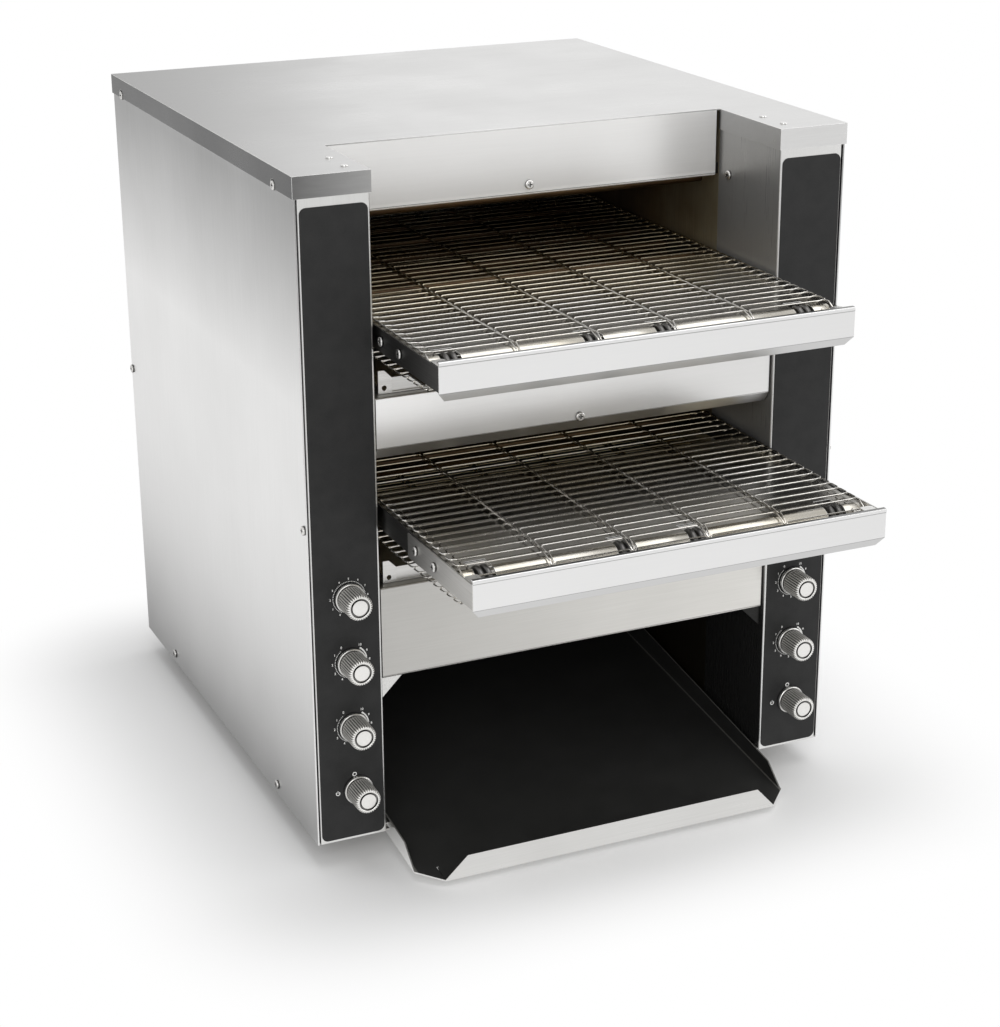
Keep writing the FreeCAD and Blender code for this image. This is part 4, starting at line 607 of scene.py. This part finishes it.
def belt_wires(line, sag, wire=0.6, sides=6):
    """Tubes along every wire: centre line on the path's normal and tangent, ring round its direction."""
    path, length = belt_path(line, sag)
    whole = length[-1]
    count = int(round(whole / 12.7))
    shape = wire_shape(whole / count)
    along = (np.arange(count)[:, None] * whole / count + 1.6 + shape[None, :, 1]) % whole
    behind = np.interp(along, length, path[:, 0])
    above = np.interp(along, length, path[:, 1])
    step = 0.5
    ahead, after = (along + step) % whole, (along - step) % whole
    run = np.interp(ahead, length, path[:, 0]) - np.interp(after, length, path[:, 0])
    rise = np.interp(ahead, length, path[:, 1]) - np.interp(after, length, path[:, 1])
    size = np.hypot(run, rise)
    out_y, out_z = -rise / size, run / size
    centre = np.stack([np.broadcast_to(shape[:, 0], along.shape), behind + out_y * shape[:, 2],
                       above + out_z * shape[:, 2]], -1)
    forward = np.gradient(centre, axis=1)
    forward /= np.linalg.norm(forward, axis=-1, keepdims=True)
    away = np.stack([np.zeros_like(out_y), out_y, out_z], -1)
    side = np.cross(forward, away)
    side /= np.maximum(np.linalg.norm(side, axis=-1, keepdims=True), 1e-9)
    other = np.cross(side, forward)
    angle = np.linspace(0, 2 * np.pi, sides, endpoint=False)
    ring = np.cos(angle)[:, None] * other[:, :, None, :] + np.sin(angle)[:, None] * side[:, :, None, :]
    tubes = centre[:, :, None, :] + ring * wire
    tips = np.repeat(centre[:, :, None, :], sides, axis=2)
    tubes = np.concatenate([tips[:, :1], tubes, tips[:, -1:]], axis=1)[:, ::-1]
    return [(spot(tube[..., 0], tube[..., 1], tube[..., 2]), True, 0) for tube in tubes]


belt_steel = heated_steel("belt_wire_steel", (0.74, 0.73, 0.71), (0.52, 0.51, 0.495), 0.18, 0.3,
                          "none", -60, 160, 0.0, 0.32, 0.4)
for line, sag in (("upper", 3.5), ("lower", 8.0)):
    make_piece(f"{line}_wire_belt", belt_wires(line, sag), [belt_steel], "cabinet",
               [f"{line}_belt"])


# Front guards: one folded bar before each nose. Its top is hemmed, its lip is bent back below
# with rounded corners, and a small lug at each end holds it to the rail.
def rounded_path(corners, radii, steps=5):
    """A bent line: each inner corner becomes an arc that touches both of its runs."""
    corners = np.asarray(corners, float)
    radii = np.broadcast_to(radii, len(corners) - 2)
    path = [corners[:1]]
    for before, here, after, radius in zip(corners, corners[1:], corners[2:], radii):
        one = (before - here) / np.linalg.norm(before - here)
        two = (after - here) / np.linalg.norm(after - here)
        half = math.acos(np.clip(one @ two, -1, 1)) / 2
        middle = here + (one + two) / np.linalg.norm(one + two) * radius / math.sin(half)
        start = here + one * radius / math.tan(half) - middle
        end = here + two * radius / math.tan(half) - middle
        sweep = math.pi - 2 * half
        part = np.linspace(0, 1, steps + 1)[:, None]
        turned_line = np.sin((1 - part) * sweep) * start + np.sin(part * sweep) * end
        path.append(middle + turned_line / math.sin(sweep))
    path.append(corners[-1:])
    return np.vstack(path)


def offset_path(path, gap):
    """The same line drawn a gap to its right, every corner mitred."""
    runs = np.diff(path, axis=0)
    runs /= np.linalg.norm(runs, axis=1, keepdims=True)
    right = np.column_stack([runs[:, 1], -runs[:, 0]])
    one = np.vstack([right[:1], right])
    two = np.vstack([right, right[-1:]])
    return path + gap * (one + two) / (1 + np.sum(one * two, axis=1, keepdims=True))


def sheet_patches(outer, inner, looks=(0, 0, 1)):
    """A closed plate between two grids: its two faces, then the cut edge all round."""
    edge = looks[2]
    return [(outer, False, looks[0]), (inner[::-1], False, looks[1]),
            (np.stack([inner[0], outer[0]]), False, edge), (np.stack([outer[-1], inner[-1]]), False, edge),
            (np.stack([outer[:, 0], inner[:, 0]], axis=1)[:, ::-1], False, edge),
            (np.stack([outer[:, -1], inner[:, -1]], axis=1), False, edge)]


def folded(corners, radii, across, thick=1.2, looks=(0, 0, 1)):
    """A folded sheet: its side view is a bent line of behind and above, carried straight across."""
    outer = rounded_path(corners, radii)
    inner = offset_path(outer, -thick)
    across = np.asarray(across, float)
    grids = [spot(across[None, :], path[:, :1] + 0 * across, path[:, 1:] + 0 * across)
             for path in (outer, inner)]
    return sheet_patches(*grids, looks)


guard_steel = steel("guard_steel", (0.755, 0.753, 0.75), (0.74, 0.738, 0.735), 0.28, 0.31, "x", 0.015)
# Painted light on the guards: a slight fall in tone from left to right, the flat top painted dark and the
# bent-back lip darker as painted shade, and thin lines of painted crease shade at the hem and at the fold.
toned(guard_steel, "X", -0.17, 0.17, 1.07, 1.03)
facing_toned(guard_steel, "Z", 0.75, 0.95, 0.3)
facing_toned(guard_steel, "Z", -0.2, -0.45, 0.76)
scored(guard_steel, 0.62, *[pan_z + (height + lift) * 0.001
                            for height in belt_height.values() for lift in (13.2, -7.2)])
guard_reach = {"upper": 121.0, "lower": 177.5}
for line in ("upper", "lower"):
    front, top = -guard_reach[line], belt_height[line] + 16.5
    fold, wide, corner = top - 23.6, 172.3, 5.6
    side_view = [(front + 4.0, top), (front, top), (front, top - 2.6), (front + 0.4, top - 3.4),
                 (front + 0.4, fold), (front + 4.5, fold - 7.0)]
    profile = rounded_path(side_view, (1.3, 1.3, 1.3, 1.6))
    low = fold - 7.0 + corner
    share = np.clip((low - profile[:, 1:]) / corner, 0, 1)
    pull = corner * (1 - np.sqrt(1 - share ** 2))
    half_width = np.linspace(-1, 1, 9) * (wide - pull)
    inner = offset_path(profile, -1.2)
    grids = [spot(half_width, path[:, :1] + 0 * half_width, path[:, 1:] + 0 * half_width)
             for path in (profile, inner)]
    patches = sheet_patches(*grids)
    for side in (-1, 1):
        lug_y = front + np.array([[20.2], [19.4], [18.0], [1.2]])
        lug_x = side * 165.65 + (5.65 - np.array([[2.4], [0.8], [0.0], [0.0]])) * (-1.0, 1.0)
        patches += sheet_patches(spot(lug_x, lug_y, top - 3.8), spot(lug_x, lug_y, top - 5.0), (1, 1, 1))
    make_piece(f"{line}_guard_bar", patches, [guard_steel, cut_edge], "cabinet",
               [f"{line}_front_guard"], edge=0.00025)


# Drives: a gear motor for each belt in the bay beside the chamber, with its chain wheel and a
# chain up to the rear shaft. The gearbox is cast and painted, the chain oiled steel.
coat(speckled("painted_gearbox", (0.06, 0.062, 0.066), (0.035, 0.036, 0.04), 700, 0.45), "gear_motors")
chain_steel = steel("oiled_chain_steel", (0.2, 0.19, 0.175), (0.1, 0.095, 0.085), 0.25, 0.45, "none", 0.4)
coat(chain_steel, "drive_chains")
coat(shaft_steel, "upper_motor_sprocket", "lower_motor_sprocket")


# Electrics inside the cabinet: moulded switch blocks behind the knobs, two lacquered speed
# boards, and the white block where the supply's wires end.
coat(speckled("switch_plastic", (0.05, 0.05, 0.052), (0.03, 0.03, 0.032), 1100, 0.5), "knob_controls")
coat(speckled("board_lacquer", (0.03, 0.2, 0.09), (0.015, 0.12, 0.05), 240, 0.3), "speed_boards")
coat(speckled("terminal_plastic", (0.78, 0.77, 0.73), (0.68, 0.67, 0.63), 800, 0.5), "terminal_block")


# Fan and gland at the back: moulded black plastic, with the fine grain of the mould.
fan_plastic = speckled("fan_plastic", (0.032, 0.032, 0.034), (0.018, 0.018, 0.02), 1300, 0.42)
coat(fan_plastic, "cooling_fan_frame", "cooling_fan_rotor", "cable_gland")


# Front columns: each is one sheet folded into a channel, with a return back beside the chamber
# and a short one at the outer edge. Both bends show as bright upright lines.
column_steel = steel("column_steel", (0.73, 0.727, 0.715), (0.67, 0.667, 0.655), 0.24, 0.36, "z", 0.06)
# Painted shade: faces that look sideways are painted darker, and the left-looking ones less metallic.
facing_toned(column_steel, "X", -0.6, -0.9, 0.5, 0.65)
facing_toned(column_steel, "X", 0.6, 0.9, 0.55)


def darkened_low(material, high, low, dark):
    """Paints shade on faces that look left: scales their colour, more so from a high place down to a low one.
    """
    tree = material.node_tree
    left = shader_node(tree, "MapRange", {0: facing_of(tree)["X"], 1: -0.6, 2: -0.9})
    under = shader_node(tree, "MapRange", {0: place_of(tree)["Z"], 1: high, 2: low})
    both = shader_node(tree, "Math", {0: left.outputs[0], 1: under.outputs[0]}, operation="MULTIPLY")
    scaled_by(material, shader_node(tree, "MapRange", {0: both.outputs[0], 3: 1.0, 4: dark}))


# Painted shade: low down, the left-looking faces are painted darker still.
darkened_low(column_steel, 0.21, 0.15, 0.12)
for name, side in (("left", -1), ("right", 1)):
    plan = [(side * 174.6, 97.7), (side * 174.6, 0.0), (side * 231.5, 0.0), (side * 231.5, 16.2)]
    outer = rounded_path(plan, (1.6, 1.3))
    inner = offset_path(outer, 1.2 if side < 0 else -1.2)
    rows = np.array([[0.0], [543.8]])
    grids = [spot(path[:, 0] + 0 * rows, path[:, 1] + 0 * rows, rows + 0 * path[:, 0])
             for path in (outer, inner)]
    if side < 0:
        grids = [grid[:, ::-1] for grid in grids]
    make_piece(f"{name}_folded_column", sheet_patches(grids[0][::-1], grids[1][::-1]),
               [column_steel, cut_edge], "cabinet", [f"{name}_front_column"], edge=0.0002)


# Label plates: thin dark film on each column with rounded corners. The print on it is white:
# a ring of dashes that thickens towards the hot end, plain numbers, and the power marks.
film = speckled("dark_label_film", (0.021, 0.021, 0.021), (0.016, 0.016, 0.016), 1500, 0.5, 0.08,
                Specular_IOR_Level=0.25)


def rounded_plate(low, high, bottom, top, radius, front, thick):
    """A flat plate with quarter-round corners: rings from its middle out, round its edge and back."""
    turn = np.radians(np.linspace(0, 90, 7))
    corners = [(high - radius, bottom + radius, -90), (high - radius, top - radius, 0),
               (low + radius, top - radius, 90), (low + radius, bottom + radius, 180)]
    outline = np.vstack([np.column_stack([x + radius * np.cos(turn + math.radians(start)),
                                          z + radius * np.sin(turn + math.radians(start))])
                         for x, z, start in corners])
    middle = np.array([(low + high) / 2, (bottom + top) / 2])
    inset = outline + 0.12 * (middle - outline) / np.linalg.norm(middle - outline, axis=1, keepdims=True)
    rings = [(middle + 0 * outline, front), (inset, front), (outline, front + 0.12), (outline, front + thick),
             (middle + 0 * outline, front + thick)]
    return np.stack([spot(ring[:, 0], depth, ring[:, 1]) for ring, depth in rings])


for name, span in (("left", (-230.2, -176.5)), ("right", (176.5, 230.2))):
    make_piece(f"{name}_label_film", [(rounded_plate(*span, 2.0, 521.0, 5.3, -0.6, 0.59), True, 0)], [film],
               "cabinet", [f"{name}_control_overlay"])
print_white = speckled("white_print", (0.9, 0.9, 0.88), (0.84, 0.84, 0.82), 1200, 0.55, 0.05)


def arc_dashes(centre, radius, angles, wide, span):
    """Short bars along a circle: a grid of angle from each dash's middle by radius from the line."""
    across, above = centre
    angles, span, wide = (np.asarray(v, float)[:, None, None] for v in (angles, span, wide))
    along = np.radians(angles + span * np.array([-0.5, 0.0, 0.5])[:, None])
    reach = radius + wide * np.array([-0.5, 0.5])
    return np.stack([across + reach * np.sin(along), above + reach * np.cos(along)], -1)


def number_print(text, centre, size):
    """A number's outline as a flat mesh: points of across and above, and their triangles."""
    curve = bpy.data.curves.new("dial_number", "FONT")
    curve.body = text
    curve.size = size
    curve.align_x = "CENTER"
    curve.align_y = "CENTER"
    curve.resolution_u = 3
    curve.offset = 0.05
    letter = bpy.data.objects.new("dial_number", curve)
    scene.collection.objects.link(letter)
    mesh = bpy.data.meshes.new_from_object(letter)
    points = np.zeros(len(mesh.vertices) * 3)
    mesh.vertices.foreach_get("co", points)
    mesh.calc_loop_triangles()
    faces = np.zeros(len(mesh.loop_triangles) * 3, np.int32)
    mesh.loop_triangles.foreach_get("vertices", faces)
    bpy.data.objects.remove(letter)
    bpy.data.meshes.remove(mesh)
    return points.reshape(-1, 3)[:, :2] + centre, faces.reshape(-1, 3)


knob_heights = {"power": 44.0, "lower_heat": 100.0, "upper_heat": 156.0, "speed": 211.0}
for name, side in (("left", -1), ("right", 1)):
    dashes, prints = [], []
    across = side * 201.0
    for kind in ("lower_heat", "upper_heat", "speed"):
        middle = (across, knob_heights[kind])
        way = -1 if kind != "speed" else 1
        first = -40.0 if kind != "speed" else -150.0
        turn = np.linspace(0, 1, 50)
        growth = 0.6 + 0.75 * np.clip((turn - 0.62) / 0.38, 0, 1) ** 1.5
        dashes.append(arc_dashes(middle, 13.3, first + way * 282 * turn, growth,
                                 np.where(turn > 0.85, 5.9, 2.6)))
        for n in range(11):
            where = math.radians(-30 - 30 * n) if kind != "speed" else math.radians(-150 + 30 * n)
            place = (across + 15.6 * math.sin(where), middle[1] + 15.6 * math.cos(where))
            prints.append(number_print(str(n), place, 2.8 if kind != "speed" else 2.3))
    middle = (across, knob_heights["power"] - 1.0)
    full = np.linspace(0, 360, 24, endpoint=False)
    ring_at = (middle[0], middle[1] + 14.6)
    dashes.append(arc_dashes(ring_at, 1.5, full, np.full(24, 0.75), np.full(24, 15.1)))
    power_at = (middle[0] - 14.6, middle[1])
    open_ring = np.linspace(45, 315, 19)
    dashes.append(arc_dashes(power_at, 1.5, open_ring, np.full(19, 0.75), np.full(19, 15.1)))
    bars = np.array([[[(-0.27, 0.2), (0.27, 0.2)], [(-0.27, 2.4), (0.27, 2.4)]],
                     [[(-0.27, -1.7), (0.27, -1.7)], [(-0.27, 1.7), (0.27, 1.7)]]])
    bars = bars + np.array([power_at, (middle[0] + 14.6, middle[1])])[:, None, None, :]
    points, faces, start = [], [], 0
    for grids in dashes + [bars]:
        rows, columns = grids.shape[1:3]
        quads = grid_quads(rows, columns, False)
        block = start + np.arange(len(grids))[:, None, None] * rows * columns + quads[None]
        triangles = block.reshape(-1, 4)[:, [0, 1, 2, 0, 2, 3]].reshape(-1, 3)
        points.append(grids.reshape(-1, 2))
        faces.append(triangles)
        start += points[-1].shape[0]
    for flat, triangles in prints:
        points.append(flat)
        faces.append(triangles + start)
        start += len(flat)
    points, faces = np.vstack(points), np.vstack(faces)
    one, two, three = (points[faces[:, k]] for k in range(3))
    area = np.cross(two - one, three - one)
    faces[area < 0] = faces[area < 0][:, ::-1]
    mesh = bpy.data.meshes.new(f"{name}_dial_print")
    mesh.from_pydata(spot(points[:, 0], -0.64, points[:, 1]).tolist(), [], faces.tolist())
    mesh.materials.append(print_white)
    dial = bpy.data.objects.new(f"{name}_dial_print", mesh)
    scene.collection.objects.link(dial)
    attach(dial, "cabinet")


# Knobs: turned aluminium with thirty-two straight grooves, a base collar, a bevelled rim and
# a recessed groove round the middle of the face. The spindle goes on into the cabinet.
def knob_surface(centre, ribs=32, per_rib=8):
    """Radius against place along the axis, less a groove that the cosine of the angle cuts."""
    outline = np.array([
        (0.0, 17.0, 0), (3.0, 17.0, 0), (3.0, -1.5, 0), (11.5, -1.4, 0), (12.0, -1.8, 0), (12.0, -4.1, 0),
        (11.5, -4.6, 0), (10.3, -4.7, 0), (10.3, -5.1, 0), (10.75, -5.5, 0.3), (10.75, -6.2, 1),
        (10.75, -15.0, 1),
        (10.75, -23.2, 1), (10.55, -24.2, 1), (10.1, -24.9, 1), (9.5, -25.35, 1), (9.2, -25.4, 0.7),
        (8.1, -25.4, 0), (7.85, -25.2, 0), (7.75, -23.9, 0), (6.6, -23.8, 0), (6.5, -24.5, 0),
        (6.25, -25.0, 0), (5.9, -25.1, 0), (0.0, -25.1, 0)])
    angle = np.linspace(0, 2 * np.pi, ribs * per_rib, endpoint=False)
    groove = (0.5 - 0.5 * np.cos(angle * ribs)) ** 2
    radius = outline[:, :1] - 0.9 * outline[:, 2:] * groove
    across, height = centre
    return spot(across + radius * np.sin(angle), outline[:, 1:2] + 0 * angle,
                height + radius * np.cos(angle))


def shadowed(material, reach, dark):
    """Darkens a steel in its corners: the open share of sky within a reach mixes a dark tone into its own."""
    tree = material.node_tree
    colour = tree.nodes["Principled BSDF"].inputs["Base Color"]
    sky = shader_node(tree, "AmbientOcclusion", {"Distance": reach}, samples=8)
    open_share = shader_node(tree, "MapRange", {0: sky.outputs["AO"], 1: 0.5, 2: 0.92})
    mixed = shader_node(tree, "Mix", {0: open_share.outputs[0], 6: (*dark, 1),
                                      7: colour.links[0].from_socket}, data_type="RGBA")
    tree.links.new(mixed.outputs[2], colour)
    return material


knob_metal = steel("satin_knob_metal", (0.84, 0.83, 0.805), (0.74, 0.73, 0.705), 0.3, 0.4, "y", 0.05)
rib_metal = steel("blasted_rib_metal", (0.62, 0.61, 0.58), (0.5, 0.49, 0.465), 0.42, 0.52, "y", 0.05,
                  Metallic=0.45)
shadowed(knob_metal, 0.0025, (0.06, 0.058, 0.053))
shadowed(rib_metal, 0.002, (0.05, 0.048, 0.044))
for name, side in (("left", -1), ("right", 1)):
    for kind, height in knob_heights.items():
        across = side * 201.0 + (2.4 if kind == "power" else 0.0)
        node = f"{name}_{kind}_knob"
        grid = knob_surface((across, height))
        make_piece(f"ribbed_{node}", [(grid[:10], True, 0), (grid[9:15], True, 1), (grid[14:], True, 0)],
                   [knob_metal, rib_metal], node, [node], crease=30)


# Front panels: the hood over the upper belt, the panel between the belts with its lip bent
# back below, and the panel over the tray. Each is one folded sheet between the columns, and
# small plates fill their corners: bright ones on the left, and on the right ones painted
# near-black as painted shade.
panel_steel = steel("front_panel_steel", (0.77, 0.765, 0.755), (0.745, 0.74, 0.73), 0.28, 0.33, "x", 0.02)
hood_steel = steel("hood_panel_steel", (0.84, 0.835, 0.825), (0.81, 0.805, 0.795), 0.28, 0.33, "x", 0.02,
                   Metallic=0.6)
warm_panel = steel("lower_panel_steel", (0.6, 0.59, 0.565), (0.55, 0.54, 0.515), 0.28, 0.35, "x", 0.03)
# Painted light on the front panels: the middle panel lighter on the left, the hood lighter on the right and
# along a painted highlight at its bottom bend, the lower panel darker on the left and lighter on the right;
# the middle panel's lip is darker as painted shade, and thin lines of painted crease shade run at the folds.
toned(panel_steel, "X", -0.17, 0.12, 1.24, 0.99)
toned(hood_steel, "X", 0.04, 0.17, 1.0, 1.12)
toned(hood_steel, "Z", 0.5185, 0.517, 1.0, 1.12)
scored(hood_steel, 0.3, 0.5153)
facing_toned(panel_steel, "Z", -0.2, -0.45, 0.9)
scored(panel_steel, 0.5, 0.3514)
scored(warm_panel, 0.5, 0.1604)
toned(warm_panel, "X", -0.17, 0.17, 0.82, 1.25)
hood_view = [(98, 543.8), (98, 489.5), (114, 489.5)]
middle_view = [(21, 368), (3, 368), (3, 327), (9, 318)]
lower_view = [(21, 212), (3, 212), (3, 134.5), (21, 134.5)]
for name, view, radii, finish, wide in (("hood_panel", hood_view, (1.3,), hood_steel, 171.4),
                                        ("middle_front_panel", middle_view, (1.6, 1.3), panel_steel, 173.2),
                                        ("lower_front_panel", lower_view, (1.6, 1.8), warm_panel, 173.2)):
    make_piece(f"folded_{name}", folded(view, radii, (-wide, wide)), [finish, cut_edge], "cabinet",
               [name], edge=0.0002)
corner_steel = steel("corner_bracket_steel", (0.7, 0.695, 0.68), (0.58, 0.575, 0.56), 0.24, 0.38,
                     "none", 0.05)
# Painted shade: the corner plates right of the middle are painted near-black.
coat(toned(corner_steel, "X", 0.0, 0.1, 1.0, 0.05), "corner_brackets")


# Crumb trays: shallow steel trays that slide in under the belts, of which the front lip and
# the eared corners show.
crumb_steel = steel("crumb_tray_steel", (0.68, 0.672, 0.655), (0.56, 0.552, 0.535), 0.26, 0.4, "x", 0.1)
coat(crumb_steel, "upper_crumb_tray", "lower_crumb_tray")
edged(cut_edge, 0.0003, "upper_crumb_tray", "lower_crumb_tray")


# Toast tray: one sheet with a sloping floor, a leaning front lip and side walls, steel outside
# and coated near-black inside. Its bare cut edge shines all round.
def coated_inside(name, outside, inside):
    """Steel on faces that look outward or down, and a black coat on those that look in or up."""
    tree = outside.node_tree
    steel_shader = tree.nodes["Principled BSDF"]
    place = next(n for n in tree.nodes if n.type == "TEX_COORD").outputs["Object"]
    split = shader_node(tree, "SeparateXYZ", {0: place})
    facing = shader_node(tree, "SeparateXYZ", {0: shader_node(tree, "NewGeometry").outputs["True Normal"]})
    inward = shader_node(tree, "Math", {0: split.outputs["X"], 1: facing.outputs["X"]}, operation="MULTIPLY")
    across = shader_node(tree, "Math", {0: inward.outputs[0], 1: -0.03}, operation="LESS_THAN")
    upward = shader_node(tree, "Math", {0: facing.outputs["Z"], 1: 0.3}, operation="GREATER_THAN")
    backward = shader_node(tree, "Math", {0: facing.outputs["Y"], 1: 0.5}, operation="GREATER_THAN")
    either = shader_node(tree, "Math", {0: across.outputs[0], 1: upward.outputs[0]}, operation="MAXIMUM")
    coated = shader_node(tree, "Math", {0: either.outputs[0], 1: backward.outputs[0]}, operation="MAXIMUM")
    specks = shader_node(tree, "TexNoise", {"Vector": place, "Scale": 1500.0, "Detail": 3.0})
    worn = shader_node(tree, "TexNoise", {"Vector": place, "Scale": 40.0, "Detail": 4.0})
    rough = shader_node(tree, "MapRange", {0: worn.outputs[0], 1: 0.3, 2: 0.7, 3: 0.3, 4: 0.42})
    bump = shader_node(tree, "Bump", {"Strength": 0.1, "Distance": 0.0002, "Height": specks.outputs[0]})
    black = shader_node(tree, "Mix", {0: worn.outputs[0], 6: (*inside, 1),
                                      7: (*[tone * 1.5 for tone in inside], 1)}, data_type="RGBA")
    sideways = shader_node(tree, "Math", {0: split.outputs["X"]}, operation="ABSOLUTE")
    fold = shader_node(tree, "Math", {0: sideways.outputs[0], 1: 0.169, 2: 0.0016}, operation="COMPARE")
    line = shader_node(tree, "Math", {0: fold.outputs[0], 1: upward.outputs[0]}, operation="MULTIPLY")
    lined = shader_node(tree, "Mix", {0: line.outputs[0], 6: black.outputs[2], 7: (0.13, 0.128, 0.12, 1)},
                        data_type="RGBA")
    coat_shader = shader_node(tree, "BsdfPrincipled", {
        "Base Color": lined.outputs[2], "Roughness": rough.outputs[0], "Normal": bump.outputs[0],
        "Specular IOR Level": 0.22})
    both = shader_node(tree, "MixShader", {0: coated.outputs[0], 1: steel_shader.outputs[0],
                                           2: coat_shader.outputs[0]})
    tree.links.new(both.outputs[0], tree.nodes["Material Output"].inputs["Surface"])
    outside.name = name
    return outside


tray_steel = steel("tray_steel", (0.68, 0.675, 0.66), (0.62, 0.615, 0.6), 0.26, 0.38, "x", 0.06)
coat(coated_inside("coated_tray_sheet", tray_steel, (0.022, 0.022, 0.0213)), "product_tray")
edged(cut_edge, 0.0004, "product_tray")


# Side skins and back: flat brushed sheets whose cut front edges stand as a bright line beside
# the columns.
side_steel = steel("side_panel_steel", (0.8, 0.797, 0.79), (0.77, 0.767, 0.76), 0.3, 0.4, "z", 0.04)
# Painted reflection: the side skins are painted darker towards the top, down to 0.42 of their colour.
toned(side_steel, "Z", 0.39, 0.545, 1.0, 0.42)
coat(side_steel, "left_side_panel", "right_side_panel")
coat(steel("back_panel_steel", (0.68, 0.675, 0.66), (0.6, 0.595, 0.58), 0.3, 0.44, "x", 0.1), "back_panel")
edged(cut_edge, 0.0004, "left_side_panel", "right_side_panel", "back_panel")


# Top cover: one sheet with a notch over the upper belt; its skirt is folded down all round.
# The skirt is painted darker than the roof as a painted reflection of darker parts of the
# room, most of all on the left.
def cover_steel():
    """Brushed steel with a painted reflection for each way a face looks: the left is painted dark, the front
    fades in from it.
    """
    material = steel("top_cover_steel", (0.73, 0.727, 0.72), (0.69, 0.687, 0.68), 0.26, 0.36, "x", 0.05)
    tree = material.node_tree
    place = next(n for n in tree.nodes if n.type == "TEX_COORD").outputs["Object"]
    across, facing = place_of(tree)["X"], facing_of(tree)
    outer = shader_node(tree, "Math", {0: across, 1: -0.2}, operation="LESS_THAN")
    least = shader_node(tree, "MapRange", {0: outer.outputs[0], 3: 0.5, 4: 0.1})
    painted_left_reflection = shader_node(tree, "MapRange", {0: facing["X"], 1: -0.3, 2: -0.9, 3: 1.0, 4: least.outputs[0]})
    front = shader_node(tree, "Math", {0: facing["Y"], 1: -0.7}, operation="LESS_THAN")
    painted_front_reflection = shader_node(tree, "MapRange", {0: across, 1: -0.24, 2: -0.08, 3: 0.2, 4: 0.94})
    streaks = shader_node(tree, "Mapping", {"Vector": place, "Scale": (60.0, 60.0, 420.0)})
    noise = shader_node(tree, "TexNoise", {"Vector": streaks.outputs[0], "Scale": 1.0, "Detail": 3.0})
    uneven = shader_node(tree, "MapRange", {0: noise.outputs[0], 1: 0.3, 2: 0.7, 3: -0.012, 4: 0.012})
    faded = shader_node(tree, "Math", {0: painted_front_reflection.outputs[0], 1: uneven.outputs[0]}, operation="ADD")
    forward = shader_node(tree, "Mix", {0: front.outputs[0], 2: 1.0, 3: faded.outputs[0]})
    sides = {0: painted_left_reflection.outputs[0], 1: forward.outputs[0]}
    return scaled_by(material, shader_node(tree, "Math", sides, operation="MULTIPLY"))


coat(cover_steel(), "top_cover")
coat(cut_edge, "cover_rivets")
# Painted highlight: the cover's rounded folds take a lighter, less metallic steel.
painted_highlight_fold = steel("painted_highlight_fold", (0.96, 0.955, 0.945), (0.88, 0.875, 0.865), 0.16, 0.24, "none", 0.02,
                    Metallic=0.35)
edged(painted_highlight_fold, 0.0005, "top_cover")
edged(cut_edge, 0.0004, "cover_rivets")


# Screws: pan heads with a cross recess, zinc plated.
zinc = shadowed(steel("zinc_screw", (0.8, 0.79, 0.77), (0.6, 0.59, 0.57), 0.2, 0.32, "none", 0.05),
                0.004, (0.02, 0.02, 0.019))
coat(zinc, "panel_screws")
edged(zinc, 0.0005, "panel_screws")
